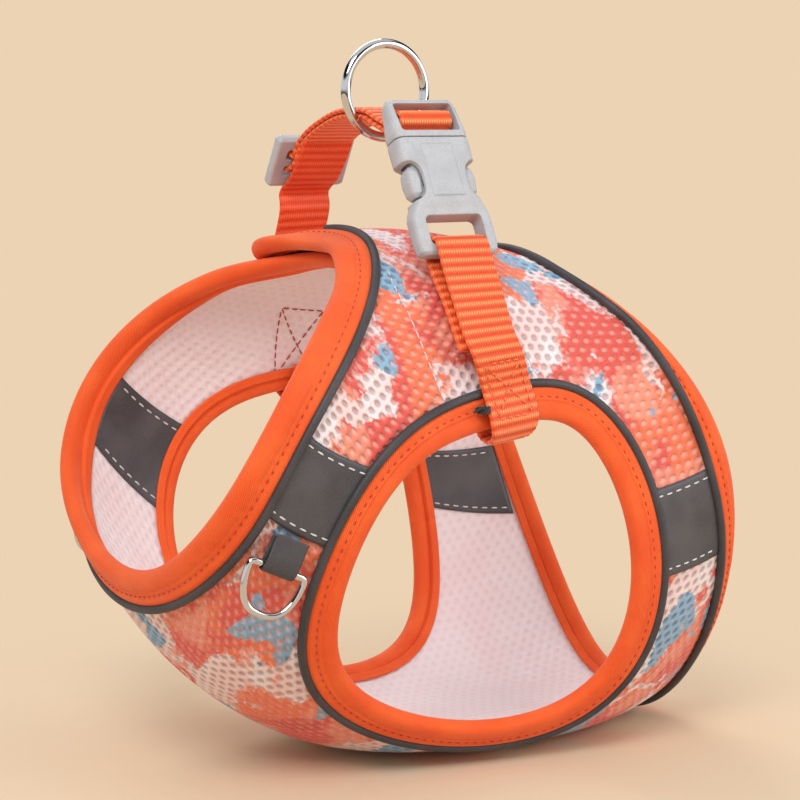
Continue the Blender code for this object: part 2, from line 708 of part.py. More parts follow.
def make_d_ring(side, label, mats):
    """D-ring hanging from a folded tab under the front strip."""
    u, v = D_RING_AT
    height = D_RING_HEIGHT
    bar = place(u, v, height, side)
    along, around = body_slopes(u, v)
    axis = unit(along * D_BAR_HEADING[0] + around * D_BAR_HEADING[1])
    axis[1] *= side
    down = np.array((0.0, 0.0, -1.0))
    hang = unit(down - axis * axis.dot(down))
    points = [bar + axis * D_RING_HALF_WIDTH * t for t in (-0.6, 0.0, 0.6)]
    for k in range(15):
        a = math.pi * k / 14
        reach = D_RING_HALF_WIDTH * math.copysign(abs(math.cos(a))**0.75, math.cos(a))
        points.append(bar + axis * reach + hang * D_RING_DROP * math.sin(a)**0.85 + hang * 0.0004)
    tube(f"{label}_d_ring", points, np.cross(axis, hang), D_WIRE_RADIUS, 6, mats["chrome"], bar)
    turn = D_WIRE_RADIUS + GAP + TAB_THICK / 2
    around_length = np.linalg.norm(around)
    low = MESH_LAYER[1] + GAP + TAB_THICK / 2 + 0.0002
    rise = height - turn - low
    stations = [(TAB_TOP + (v - TAB_TOP) * t, low + rise * t) for t in (0.0, 0.5, 1.0)]
    stations += [
        (v + turn * math.sin(a) / around_length, height - turn * math.cos(a))
        for a in (math.pi * k / 6 for k in range(1, 6))
    ]
    stations += [(v + (TAB_TOP - v) * t, height + turn - rise * t) for t in (0.0, 0.5, 1.0)]
    path = [place(u, w, h, side) for w, h in stations]
    ribbon(f"{label}_ring_tab", path, [axis] * len(path), TAB_WIDTH, TAB_THICK, False, mats["strip"])


def main():
    for obj in list(bpy.data.objects):
        bpy.data.objects.remove(obj, do_unlink=True)
    mats = {
        "mesh": material("printed_mesh", (0.85, 0.22, 0.12), 0.85),
        "lining": material("lining_mesh", (0.84, 0.68, 0.68), 0.9),
        "binding": material("orange_binding", (0.92, 0.16, 0.03), 0.8),
        "piping": material("grey_piping", (0.10, 0.09, 0.10), 0.55),
        "strip": material("reflective_strip", (0.08, 0.075, 0.085), 0.5),
        "patch": material("hook_and_loop", (0.92, 0.16, 0.03), 0.95),
        "webbing": material("orange_webbing", (0.90, 0.17, 0.04), 0.7),
        "plastic": material("grey_plastic", (0.56, 0.55, 0.57), 0.45),
        "chrome": material("chrome_wire", (0.85, 0.85, 0.86), 0.08, 1.0),
    }
    sites, quads = side_panel()
    for side, label in ((1, "left"), (-1, "right")):
        thick_sheet(f"{label}_mesh_panel", sites, quads, MESH_LAYER, side, mats["mesh"])
        thick_sheet(f"{label}_lining", sites, quads, LINING_LAYER, side, mats["lining"])
        make_armholes(side, label, mats)
        make_d_ring(side, label, mats)
        for where, rim, arm, rim_u in (("front", *FRONT_STRIP, 0.0), ("rear", *REAR_STRIP, 1.0)):
            strip = strip_sites(arm, rim, rim_u)
            strip_quads = grid_quads(STRIP_STEPS[1] + 1, STRIP_STEPS[0] + 1)
            thick_sheet(f"{label}_{where}_strip", strip, strip_quads, STRIP_LAYER, side, mats["strip"])
    make_rims(mats)
    make_flap_edges(mats)
    make_patches(mats)
    make_straps(mats)
    make_buckle(mats)
    make_slider(mats)
    make_o_ring(mats)


main()
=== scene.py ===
"""Looks of the no pull harness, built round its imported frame. Metres, +Z up, the wearer faces -X.

The vest's surface is the same formula as in the part: u runs from the neck edge (0) to the waist
edge (1), and w is the angle round the body from the middle of the back (0) down the left side,
under the belly (pi) and up the right side to the middle of the back again (2 pi). The left flap
reaches past 0 and the right flap past 2 pi, under it.
"""

import math

import bpy
import numpy as np
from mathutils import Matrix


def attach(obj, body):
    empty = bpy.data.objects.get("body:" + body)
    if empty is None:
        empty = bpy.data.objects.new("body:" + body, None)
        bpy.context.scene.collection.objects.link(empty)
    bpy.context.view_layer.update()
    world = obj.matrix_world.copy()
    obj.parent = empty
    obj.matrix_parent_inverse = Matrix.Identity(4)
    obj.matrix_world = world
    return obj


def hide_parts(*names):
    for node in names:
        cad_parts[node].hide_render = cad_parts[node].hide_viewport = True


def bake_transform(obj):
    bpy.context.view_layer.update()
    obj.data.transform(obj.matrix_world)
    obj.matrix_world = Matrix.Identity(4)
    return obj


# Vest surface, as in the part: side view of its top and bottom lines (x, z), Bezier control values
DESIGN_X = 0.01452
DESIGN_Z = -0.0949
TOP_LINE = ((-0.0103, 0.0657), (0.0071, 0.0791), (0.0353, 0.0777), (0.0558, 0.0650))
BOTTOM_LINE = ((-0.0823, -0.0314), (-0.0605, -0.0860), (0.0274, -0.1210), (0.1086, -0.0894))
HALF_WIDTH = (0.0599, 0.0610, 0.0684, 0.0624)
BELLY_FLATNESS = (-0.0036, 0.0107, -0.0166, 0.0053)
RIM_SADDLE = (-0.0084, 0.0083)
REST_LEVEL = -0.0925
REST_SOFTNESS = 0.003
ARM_CENTRE = (0.536, 1.855)
ARM_SIZE = (0.275, 0.686)
ARM_U_TERMS = ((1.0, -0.033), (-0.030, 0.005), (-0.016, 0.018))
ARM_V_TERMS = ((-0.038, 1.0), (-0.007, 0.038), (0.015, 0.053))
FLAP_REACH = 0.30
FLAP_FABRIC_END = 0.295
CORNER_FLARE = 0.26
FLARE_U, FLARE_W = (0.42, 0.36), (0.5, 0.8)  # where the flare starts, and over how far it grows
LEFT_FLAP_SHIFT = (0.0050, -0.0060, -0.0080, -0.0030)
FLAP_SPACING = 0.0075
FLAP_FLAT_TO = 0.38
FLAP_DOWN_BY = 0.90
ROUND = 2 * math.pi

# Cloth
CELL = (0.0040, 0.0031)
HOLE_STRETCH = 2 * CELL[1] / CELL[0] * 1.15  # brings a cell's two directions to one scale, holes being oval
NET_HEIGHTS = (0.0013, 0.0020)
LINING_HEIGHTS = (-0.0016, -0.0014)
LINING_FACE = -0.0004
CLOTH_STEP = 0.00078
CLOTH_SPAN = 0.155
ARM_CLOTH_EDGE = 1.035
CLOTH_UNDER_ROLL = 0.0012
CLOTH_TUCK = 0.0021

# Edge bindings: (distance past the edge line, height) round the section, from the outer flange's edge.
# The roll starts at ROLL_FROM and may turn in and shift outwards; the flange may be narrower than drawn.
BINDING_SECTION = (
    (-0.0072, 0.0024), (-0.0071, 0.0031), (-0.0058, 0.0034), (-0.0044, 0.0031), (-0.0036, 0.0033),
    (-0.0024, 0.0042), (0.0000, 0.0048), (0.0030, 0.0045), (0.0052, 0.0031), (0.0062, 0.0006),
    (0.0056, -0.0020), (0.0036, -0.0036), (0.0008, -0.0041), (-0.0020, -0.0036),
    (-0.0046, -0.0029), (-0.0060, -0.0027), (-0.0064, -0.0022), (-0.0044, -0.0018), (-0.0008, 0.0000),
    (-0.0026, 0.0022),
)
SECTION_MIDDLE = (-0.0005, 0.0003)
ROLL_FROM = (-0.0036, 0.0012)
BINDING_STEP = 0.0009
SECTION_STEP = 0.0005
ROLL_SIZE = 0.68
ARM_ROLL = (0.62, 0.10, 0.0, 1.0)  # what edge_shape gives, for an armhole
WAIST_FROM, WAIST_TOP_FROM = (0.78, 0.17), (1.6, 0.9)  # where it starts, and over how far it grows
WAIST_TURN, WAIST_TOP_TURN = 0.50, 0.75
NECK_SHIFT, WAIST_SHIFT = 0.0022, 0.0010
FLANGE_TOP = 0.10
STITCH_GROOVE = (-0.0042, 0.0032)
PIPING_PLACE = (-0.0085, 0.0030)
PIPING_RADIUS = 0.0014
PUCKER_WAVES = (0.0031, 0.0047, 0.0083, 0.019)
PUCKER_HEIGHT = 0.00012
BODY_CORNER = (0.10, 0.16)
PIPING_STOP = 0.155

# Stitches: thread, then each stitch's length, the gap after it and its radius
STITCHES = {
    "binding": ("red_thread", 0.0016, 0.0014, 0.0002),
    "strip": ("white_thread", 0.0027, 0.0011, 0.00028),
    "seam": ("white_thread", 0.0030, 0.0004, 0.00022),
    "inside_box": ("red_thread", 0.0026, 0.0005, 0.00026),
    "strap_box": ("orange_thread", 0.0019, 0.0009, 0.00036),
}
STITCH_SUNK = 0.00006

# Reflective strips: angles of the upper and lower edges at the armhole and at the rim
STRIPS = {
    ("front", "outer"): ((1.56, 1.91), (1.62, 2.01)), ("front", "inner"): ((1.57, 1.98), (1.56, 1.95)),
    ("rear", "outer"): ((1.50, 1.83), (1.48, 1.84)), ("rear", "inner"): ((1.53, 1.78), (1.60, 1.92)),
}
STRIP_GAPS = {"outer": 0.0080, "inner": 0.0052}
STRIP_RIMS = {
    ("front", "outer"): 0.046, ("front", "inner"): 0.036,
    ("rear", "outer"): 0.962, ("rear", "inner"): 0.972,
}
STRIP_HEIGHTS = {"outer": (0.0021, 0.0028), "inner": (-0.0017, -0.0022)}

# Flaps: (name, low, high, first w, last w) of the patches, and the sites of the sewn lines
PATCH_U = (0.22, 0.78)
SEAM_HEIGHT = 0.0020
INSIDE_BOX_HEIGHT = -0.0017
PATCHES = (("hook_patch", -0.0034, -0.0020, -0.16, 0.16),
           ("loop_patch", 0.0022, 0.0036, ROUND - 0.16, ROUND + 0.16))
SEAM_LINES = (("front", ((0.130, 0.62), (0.147, 0.719), (0.230, 0.93), (0.300, 1.10), (0.358, 1.236))),
              ("rear", ((0.560, 0.84), (0.577, 0.913), (0.600, 1.02), (0.622, 1.114))))
INSIDE_BOX = ((0.349, 0.911), (0.482, 0.895), (0.515, 1.18), (0.428, 1.236))

# Back strap and hardware, in the design's coordinates as in the part
WEB_WIDTH = 0.0190
WEB_THICK = 0.0014
WEB_LAYERS = 0.0010
WEB_BAR = 0.0029
WEB_THREAD = 0.00088
SEWN_BOX = (0.027, 0.045)
SEWN_MARGIN = 0.0028
STRAP_TAPER = (0.014, 0.027, 0.72)
TAB_WIDTH = 0.0105
TAB_TOP = 1.99
TAB_THICK = 0.0007
TAB_LOW = 0.0026
ARCH_X = 0.0070
STRAP_BASE_ANGLE = 1.45 * math.pi
BUCKLE_BASE = (ARCH_X, -0.0444, 0.0672)
BUCKLE_LEAN = math.radians(27.3)
SOCKET_BAR = 0.0015
CROSSBAR = 0.0452
CROSSBAR_RADIUS = 0.0011
PRONG_OUTLINE = (
    (0.0066, 0.0377), (0.0086, 0.0377), (0.0090, 0.0320), (0.0098, 0.0288), (0.0112, 0.0262),
    (0.0114, 0.0225), (0.0098, 0.0196), (0.0076, 0.0188), (0.0072, 0.0240), (0.0070, 0.0306),
    (0.0066, 0.0377),
)
O_RING_CENTRE = (ARCH_X, -0.0030, 0.1168)
O_RING_RADIUS = 0.0146
O_WIRE_RADIUS = 0.0016
SLIDER_CENTRE = (ARCH_X, 0.0444, 0.0941)
SLIDER_LEAN = math.radians(29.0)
D_RING_AT = (0.131, 2.10)
D_BAR_HEADING = (0.081, -0.084)
D_RING_HEIGHT = 0.0064
D_RING_HALF_WIDTH = 0.0090
D_RING_DROP = 0.0140
D_WIRE_RADIUS = 0.0011

# Camera, at the photograph's viewing angle, and the floor
VIEW_AZIMUTH = math.radians(-32.62)
VIEW_ELEVATION = math.radians(7.23)
VIEW_DISTANCE = 0.7508
VIEW_TARGET = (-0.00015, 0.0, 0.11274)
LENS_MM = 104.7
SENSOR_MM = 36.0
BEIGE = (0.838, 0.651, 0.456)
FLOOR_TINT = (0.73, 0.57, 0.40)
FLOOR_RADIUS = 2.5
FLOOR_FADE = (0.06, 0.26)


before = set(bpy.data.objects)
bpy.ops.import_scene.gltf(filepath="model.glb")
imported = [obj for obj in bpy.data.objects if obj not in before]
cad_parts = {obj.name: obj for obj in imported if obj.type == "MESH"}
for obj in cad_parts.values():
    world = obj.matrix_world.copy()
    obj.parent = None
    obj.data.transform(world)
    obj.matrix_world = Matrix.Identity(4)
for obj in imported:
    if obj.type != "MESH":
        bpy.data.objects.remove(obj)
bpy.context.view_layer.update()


# Surface


def bezier(values, t):
    a, b, c, d = values
    s = 1.0 - t
    return s**3 * a + 3 * t * s * s * b + 3 * t * t * s * c + t**3 * d


def body(u, w):
    """Points of the vest's middle surface, (..., 3)."""
    top_x, top_z, low_x, low_z = (
        bezier([p[k] for p in line], u) for line in (TOP_LINE, BOTTOM_LINE) for k in (0, 1)
    )
    ax, az = (top_x - low_x) / 2, (top_z - low_z) / 2
    size = np.hypot(ax, az)
    saddle = (RIM_SADDLE[0] * (1 - u) + RIM_SADDLE[1] * u) * (np.cos(2 * w) - 1) / size
    x = (top_x + low_x) / 2 + ax * np.cos(w) - az * saddle
    z = (top_z + low_z) / 2 + az * np.cos(w) + ax * saddle
    y = -(bezier(HALF_WIDTH, u) * np.sin(w) + bezier(BELLY_FLATNESS, u) * np.sin(2 * w))
    z = REST_LEVEL + REST_SOFTNESS * np.logaddexp(0.0, (z - REST_LEVEL) / REST_SOFTNESS)
    return np.stack((x - DESIGN_X, y, z - DESIGN_Z), -1)


def unit(a):
    """The directions of vectors."""
    return a / np.linalg.norm(a, axis=-1, keepdims=True)


def slopes(u, w):
    """How the surface runs on per unit of u and per unit of w."""
    e = 1e-4
    return (body(u + e, w) - body(u - e, w)) / (2 * e), (body(u, w + e) - body(u, w - e)) / (2 * e)


def smooth_step(x):
    x = np.clip(x, 0.0, 1.0)
    return x * x * (3.0 - 2.0 * x)


def place(u, w, height):
    """Points at a height above the surface; the left flap lies over the right one."""
    u, w, height = np.broadcast_arrays(np.asarray(u, float), w, height)
    along, around = slopes(u, w)
    shift = bezier(LEFT_FLAP_SHIFT, u)
    left, right = (smooth_step((FLAP_DOWN_BY - v) / (FLAP_DOWN_BY - FLAP_FLAT_TO)) for v in (w, ROUND - w))
    lift = shift * left + (shift - FLAP_SPACING) * right
    return body(u, w) + unit(np.cross(around, along)) * (height + lift)[..., None]


def flared(u, w):
    """Sites of the left flap with its neck corner drawn out over the far side."""
    near_neck = smooth_step((FLARE_U[0] - u) / FLARE_U[1])
    return w - CORNER_FLARE * near_neck * smooth_step((FLARE_W[0] - w) / FLARE_W[1])


def edge_shape(u, w):
    """The neck and waist roll at sites: size, how far it turns in, shift outwards, width of its flange."""
    waist = smooth_step((u - WAIST_FROM[0]) / WAIST_FROM[1])
    top = smooth_step((WAIST_TOP_FROM[0] - np.minimum(w, ROUND - w)) / WAIST_TOP_FROM[1])
    turn = (WAIST_TURN + WAIST_TOP_TURN * top) * waist
    shift = NECK_SHIFT * (1 - waist) + WAIST_SHIFT * waist
    return ROLL_SIZE, turn, shift, 1.0 - (1.0 - FLANGE_TOP) * top * waist


def normals(u, w):
    """Directions away from the body, at sites."""
    e = 1e-3
    across = place(u + e, w, 0.0) - place(u - e, w, 0.0)
    around = place(u, w + e, 0.0) - place(u, w - e, 0.0)
    return unit(np.cross(around, across))


def arm_edge(angle):
    """Sites round the left armhole's edge."""
    u, v = ARM_CENTRE
    for k, (a, b) in enumerate(ARM_U_TERMS, 1):
        u = u + ARM_SIZE[0] * (a * np.cos(k * angle) + b * np.sin(k * angle))
    for k, (a, b) in enumerate(ARM_V_TERMS, 1):
        v = v + ARM_SIZE[1] * (a * np.cos(k * angle) + b * np.sin(k * angle))
    return u, v


def edge_steps(u, w, clockwise):
    """The (u, w) step of one metre square to a path of sites, to its left or right."""
    along, around = slopes(u, w)
    ahead = along * np.gradient(u)[:, None] + around * np.gradient(w)[:, None]
    target = clockwise * np.cross(unit(np.cross(around, along)), unit(ahead))
    aa, ab, bb = ((p * q).sum(-1) for p, q in ((along, along), (along, around), (around, around)))
    ta, tb = (along * target).sum(-1), (around * target).sum(-1)
    spread = aa * bb - ab * ab
    return (bb * ta - ab * tb) / spread, (aa * tb - ab * ta) / spread


def ring_steps(u, w, clockwise):
    """The same steps round a closed path of sites."""
    return (x[3:-3] for x in edge_steps(np.pad(u, 3, "wrap"), np.pad(w, 3, "wrap"), clockwise))


def on_side(side, w):
    """An angle given for the left side, or its mirror image on the right."""
    return w if side == "left" else ROUND - w


def path_lengths(points):
    """How far along a path each of its points is."""
    return np.concatenate(([0.0], np.cumsum(np.linalg.norm(np.diff(points, axis=0), axis=1))))


def headings(points, closed):
    """The direction ahead at each point of a path."""
    if closed:
        return unit(np.roll(points, -1, 0) - np.roll(points, 1, 0))
    return unit(np.gradient(points, axis=0))


def resample(points, step, closed=False):
    """Points spaced evenly along a path, and how far along each is; columns past the third only follow."""
    pts = np.asarray(points, float)
    if closed:
        pts = np.vstack((pts, pts[:1]))
    far = path_lengths(pts[:, :3])
    count = max(int(round(far[-1] / step)), 2)
    at = np.linspace(0.0, far[-1], count + 1)
    if closed:
        at = at[:-1]
    return np.stack([np.interp(at, far, pts[:, k]) for k in range(pts.shape[1])], -1), at


def site_path(u, w, step, closed=False):
    """Sites (u, w) spaced evenly in metres along a path of sites, and how far along each is."""
    both, at = resample(np.column_stack((place(u, w, 0.0), u, w)), step, closed)
    u, w = np.ascontiguousarray(both[:, 3:].T)
    return u, w, at


def catmull(points, steps, closed=False):
    """A smooth curve through the points."""
    pts = np.asarray(points, float)
    if closed:
        pts = np.vstack((pts[-1:], pts, pts[:2]))
    else:
        pts = np.vstack((2 * pts[0] - pts[1], pts, 2 * pts[-1] - pts[-2]))
    out = []
    for i in range(1, len(pts) - 2):
        a, b, c, d = pts[i - 1:i + 3]
        for t in np.linspace(0.0, 1.0, steps, endpoint=False):
            out.append((2 * b + (c - a) * t + (2 * a - 5 * b + 4 * c - d) * t**2
                        + (3 * b - a - 3 * c + d) * t**3) / 2)
    return np.array(out if closed else [*out, pts[-2]])


# Meshes


def mesh_piece(name, verts, faces, mat, uvs=None):
    """A mesh object from arrays; faces is (n, 3) or (n, 4), or a list of such arrays."""
    groups = faces if isinstance(faces, list) else [faces]
    mesh = bpy.data.meshes.new(name)
    mesh.vertices.add(len(verts))
    mesh.vertices.foreach_set("co", np.asarray(verts, np.float32).ravel())
    loops = np.concatenate([np.asarray(g, np.int32).ravel() for g in groups])
    sizes = np.concatenate([np.full(len(g), np.asarray(g).shape[1], np.int32) for g in groups])
    mesh.loops.add(len(loops))
    mesh.loops.foreach_set("vertex_index", loops)
    mesh.polygons.add(len(sizes))
    mesh.polygons.foreach_set("loop_start", np.concatenate(([0], np.cumsum(sizes)[:-1])).astype(np.int32))
    if uvs is not None:
        layer = mesh.uv_layers.new(name="cloth")
        layer.data.foreach_set("uv", np.asarray(uvs, np.float32)[loops].ravel())
    mesh.update(calc_edges=True)
    mesh.validate()
    obj = bpy.data.objects.new(name, mesh)
    bpy.context.scene.collection.objects.link(obj)
    mesh.materials.append(mat)
    mesh.polygons.foreach_set("use_smooth", np.full(len(mesh.polygons), True))
    return obj


def ring_faces(count, size, closed):
    """Quads between consecutive rings of the same size."""
    i = np.arange(count if closed else count - 1)[:, None]
    k = np.arange(size)[None, :]
    a, b, m = i * size, ((i + 1) % count) * size, (k + 1) % size
    return np.stack((a + k, b + k, b + m, a + m), -1).reshape(-1, 4)


def grid_quads(rows, columns):
    """The numbers of a grid's points, and the quads between them."""
    i = np.arange(rows * columns).reshape(rows, columns)
    return i, np.stack((i[:-1, :-1], i[:-1, 1:], i[1:, 1:], i[1:, :-1]), -1).reshape(-1, 4)


def enclosed(verts, groups):
    """The signed volume inside faces, negative where they point inwards."""
    total = 0.0
    for faces in groups:
        for k in range(1, faces.shape[1] - 1):
            a, b, c = verts[faces[:, 0]], verts[faces[:, k]], verts[faces[:, k + 1]]
            total += float((a * np.cross(b, c)).sum()) / 6
    return total


def swept(name, rings, closed, mat, uvs=None):
    """A closed solid through rings of points (count, size, 3); open ends get a fan."""
    count, size, _ = rings.shape
    verts = rings.reshape(-1, 3)
    faces = [ring_faces(count, size, closed)]
    if not closed:
        verts = np.vstack((verts, rings[0].mean(0), rings[-1].mean(0)))
        k = np.arange(size)
        m = (k + 1) % size
        last = (count - 1) * size
        faces.append(np.stack((np.full(size, count * size), k, m), -1))
        faces.append(np.stack((np.full(size, count * size + 1), last + m, last + k), -1))
        if uvs is not None:
            uvs = np.vstack((uvs, uvs[:1], uvs[-1:]))
    if enclosed(verts, faces) < 0.0:
        faces = [group[:, ::-1] for group in faces]
    obj = mesh_piece(name, verts, faces, mat, uvs)
    if closed and uvs is not None:
        values = np.empty(2 * len(obj.data.loops), np.float32)
        layer = obj.data.uv_layers["cloth"].data
        layer.foreach_get("uv", values)
        joins = values.reshape(-1, 4, 2)[-size:]
        joins[:, 1:3, 0] += uvs[-1, 0] + uvs[size, 0]
        layer.foreach_set("uv", values)
    return obj


def round_rings(points, first, second, radius, sides):
    """Circles round the points of a path, in the planes of two directions."""
    turn = np.arange(sides) * ROUND / sides
    return points[:, None] + radius * (
        first[:, None] * np.cos(turn)[None, :, None] + second[:, None] * np.sin(turn)[None, :, None]
    )


def tube(name, points, radius, closed, mat, sides, hint):
    """A round wire along a path; hint is a direction that the path never follows."""
    ahead = headings(points, closed)
    first = unit(np.cross(ahead, np.asarray(hint, float)))
    return swept(name, round_rings(points, first, np.cross(ahead, first), radius, sides), closed, mat)


def dashes(name, points, outward, kind):
    """A row of stitches along a path: each a short rounded thread lying on the surface."""
    thread, length, gap, radius = STITCHES[kind]
    far = path_lengths(points)
    starts = np.arange(gap / 2, far[-1] - length, length + gap)
    along = np.linspace(0.0, 1.0, 6)
    size = np.array((0.30, 0.85, 1.0, 1.0, 0.85, 0.30))
    turn = -np.arange(6) * ROUND / 6
    rise = np.array((-0.6, 0.2, 0.5, 0.5, 0.2, -0.6))

    def at(d, values):
        return np.stack([np.interp(d, far, values[:, k]) for k in range(3)], -1)

    centres = at(starts[:, None] + along * length, points)
    up = unit(at(starts[:, None] + along * length, outward))
    ahead = unit(centres[:, -1:] - centres[:, :1])
    wide = np.cross(up, ahead)
    centres = centres + up * (radius * rise - STITCH_SUNK)[None, :, None]
    rings = centres[:, :, None] + radius * size[None, :, None, None] * (
        wide[:, :, None] * np.cos(turn)[:, None] + up[:, :, None] * np.sin(turn)[:, None]
    )
    count = len(starts)
    verts = rings.reshape(-1, 3)
    one = ring_faces(6, 6, False)
    caps = np.array([[0, 1, 2, 3, 4, 5], [35, 34, 33, 32, 31, 30]])
    offset = (np.arange(count) * 36)[:, None, None]
    faces = [(one + offset).reshape(-1, 4), (caps + offset).reshape(-1, 6)]
    add(mesh_piece(name, verts, faces, MATS[thread]))


def box_and_cross(corners):
    """The lines of a sewn box between four corners, with the cross inside it."""
    sides = [(corners[i], corners[(i + 1) % 4]) for i in range(4)]
    return [*sides, (corners[0], corners[2]), (corners[1], corners[3])]


# Materials


class Nodes:
    """A node tree, with short ways to add nodes."""

    def __init__(self, tree):
        self.tree = tree

    def put(self, socket, value):
        if isinstance(value, bpy.types.NodeSocket):
            self.tree.links.new(value, socket)
        elif isinstance(value, tuple) and len(value) == 3 and socket.type == "RGBA":
            socket.default_value = (*value, 1.0)
        else:
            socket.default_value = value

    def node(self, kind, inputs=(), output=0, **settings):
        made = self.tree.nodes.new(kind)
        for key, value in settings.items():
            setattr(made, key, value)
        for key, value in dict(inputs).items():
            self.put(made.inputs[key], value)
        return made.outputs[output]

    def math(self, operation, a, b=0.0, c=0.0):
        return self.node("ShaderNodeMath", {0: a, 1: b, 2: c}, operation=operation)

    def times(self, a, b):
        return self.math("MULTIPLY", a, b)

    def vector(self, operation, a, b=(0.0, 0.0, 0.0), output=0):
        return self.node("ShaderNodeVectorMath", {0: a, 1: b}, output, operation=operation)

    def scaled(self, vector, scale):
        return self.vector("MULTIPLY", vector, scale)

    def noise(self, vector, scale, detail=2.0, roughness=0.5, distortion=0.0):
        return self.node("ShaderNodeTexNoise", {
            "Vector": vector, "Scale": scale, "Detail": detail, "Roughness": roughness,
            "Distortion": distortion,
        }, "Fac")

    def spread(self, value, low, high, to_low=0.0, to_high=1.0):
        return self.node("ShaderNodeMapRange", {0: value, 1: low, 2: high, 3: to_low, 4: to_high},
                         interpolation_type="SMOOTHSTEP")

    def mix(self, factor, a, b, blend="MIX"):
        made = self.tree.nodes.new("ShaderNodeMix")
        made.data_type = "RGBA"
        made.blend_type = blend
        self.put(made.inputs[0], factor)
        self.put(made.inputs[6], a)
        self.put(made.inputs[7], b)
        return made.outputs[2]

    def multiplied(self, a, b):
        return self.mix(1.0, a, b, "MULTIPLY")

    def object_point(self):
        return self.node("ShaderNodeTexCoord", output="Object")


class Shader(Nodes):
    """A material's node tree, round its Principled BSDF."""

    def __init__(self, name, colour, roughness, **values):
        self.material = bpy.data.materials.new(name)
        self.material.use_nodes = True
        super().__init__(self.material.node_tree)
        self.shader = self.tree.nodes["Principled BSDF"]
        self.set("Base Color", colour)
        self.set("Roughness", roughness)
        for key, value in values.items():
            self.set(key.replace("_", " "), value)
        self.material.diffuse_color = (*colour, 1.0)

    def set(self, socket, value):
        self.put(self.shader.inputs[socket], value)

    def uv(self):
        return self.node("ShaderNodeUVMap", uv_map="cloth")

    def bump(self, height, distance, strength):
        self.set("Normal", self.node("ShaderNodeBump", {
            "Height": height, "Distance": distance, "Strength": strength,
        }))


def cell_distance(sh, coordinate):
    """Distance from the nearest hole of the net: holes lie in rows, each row shifted by half a cell."""
    scaled = sh.scaled(coordinate, (1 / CELL[0], 1 / (2 * CELL[1]), 0.0))
    found = []
    for shift in (0.0, 0.5):
        moved = sh.vector("ADD", scaled, (shift, shift, 0.0))
        near = sh.vector("SUBTRACT", sh.vector("FRACTION", moved), (0.5, 0.5, 0.0))
        found.append(sh.vector("LENGTH", sh.scaled(near, (1.0, HOLE_STRETCH, 0.0)), output=1))
    return sh.math("MINIMUM", *found)


def net_height(across, around):
    """The same net as numbers: 0 in a hole, 1 on the threads."""
    a, b = across / CELL[0], around / (2 * CELL[1])
    least = np.inf
    for shift in (0.0, 0.5):
        x = np.mod(a + shift, 1.0) - 0.5
        y = (np.mod(b + shift, 1.0) - 0.5) * HOLE_STRETCH
        least = np.minimum(least, np.hypot(x, y))
    return smooth_step((least - 0.12) / 0.26)


def print_material():
    """Air mesh printed with ragged patches: coral and orange, broken by white and light blue, with painted
    light on its cells: painted shade in the holes of the white patches, a painted highlight on each cell of
    the coloured ones, painted shade in the valleys between those cells and a painted sheen on the raised
    threads.
    """
    sh = Shader("printed_mesh", (0.8, 0.2, 0.15), 0.62, Sheen_Weight=0.25, Sheen_Roughness=0.5)
    uv = sh.uv()
    ragged = sh.math("SUBTRACT", sh.noise(uv, 190.0, 3.0, 0.65), 0.5)
    ragged_fine = sh.math("SUBTRACT", sh.noise(uv, 620.0, 1.0), 0.5)
    wobble = sh.math("MULTIPLY_ADD", ragged, 0.14, sh.times(ragged_fine, 0.06))

    def field(shift, stretch):
        """A ragged field of blotches, so many to the metre: higher inside a blotch."""
        moved = sh.vector("ADD", sh.scaled(uv, (*stretch, 0.0)), (*shift, 0.0))
        return sh.math("ADD", sh.noise(moved, 1.0, 1.0, 0.45, 0.4), wobble)

    base = field((0.31, 4.17), (34.0, 24.0))
    coral, orange = (0.78, 0.090, 0.066), (0.90, 0.185, 0.070)
    colour = sh.mix(sh.spread(base, 0.47, 0.53), coral, orange)
    wash = field((3.7, 1.9), (64.0, 44.0))
    peach = (0.92, 0.36, 0.25)
    colour = sh.mix(sh.spread(wash, 0.53, 0.62, 0.0, 0.75), colour, peach)
    deep = field((5.31, 2.17), (48.0, 36.0))
    deep_red = (0.64, 0.040, 0.036)
    colour = sh.mix(sh.spread(deep, 0.60, 0.66, 0.0, 0.6), colour, deep_red)
    patch = field((0.73, 0.41), (33.0, 22.0))
    streak = field((8.73, 6.41), (40.0, 30.0))
    ridge = sh.math("ABSOLUTE", sh.math("SUBTRACT", streak, 0.50))
    vein = sh.times(sh.spread(ridge, 0.042, 0.020), sh.spread(patch, 0.46, 0.50))
    pale = sh.math("MAXIMUM", sh.spread(patch, 0.540, 0.580), vein)
    white, pink = (0.90, 0.80, 0.81), (0.90, 0.66, 0.64)
    colour = sh.mix(pale, colour, sh.mix(sh.spread(wash, 0.40, 0.60), white, pink))
    spots = field((2.11, 5.37), (52.0, 38.0))
    light_blue = (0.255, 0.445, 0.630)
    colour = sh.mix(sh.spread(spots, 0.625, 0.640), colour, light_blue)
    distance = cell_distance(sh, uv)
    net = sh.spread(distance, 0.14, 0.40)
    # Painted shade in the holes of the white patches, a painted highlight on each cell of the coloured
    # patches.
    shaded_hole = sh.multiplied(colour, (0.66, 0.58, 0.61))
    lit_dome = sh.mix(0.50, colour, (1.0, 0.52, 0.43))
    colour = sh.mix(net, sh.mix(pale, lit_dome, shaded_hole), colour)
    # Painted shade in the valleys between the coloured cells.
    valley_shade = sh.times(sh.spread(distance, 0.34, 0.46), sh.math("SUBTRACT", 1.0, pale))
    colour = sh.mix(sh.times(valley_shade, 0.45), colour, sh.multiplied(colour, (0.86, 0.60, 0.56)))
    threads = sh.noise(sh.scaled(uv, (5200.0, 1800.0, 0.0)), 1.0, 1.0)
    # A painted sheen on the raised threads of the net.
    thread_sheen = sh.times(sh.spread(threads, 0.55, 0.8), sh.times(net, 0.35))
    sh.set("Base Color", sh.mix(thread_sheen, colour, (0.98, 0.80, 0.76)))
    sh.bump(sh.math("ADD", net, sh.times(threads, 0.25)), 0.0006, 0.8)
    return sh.material


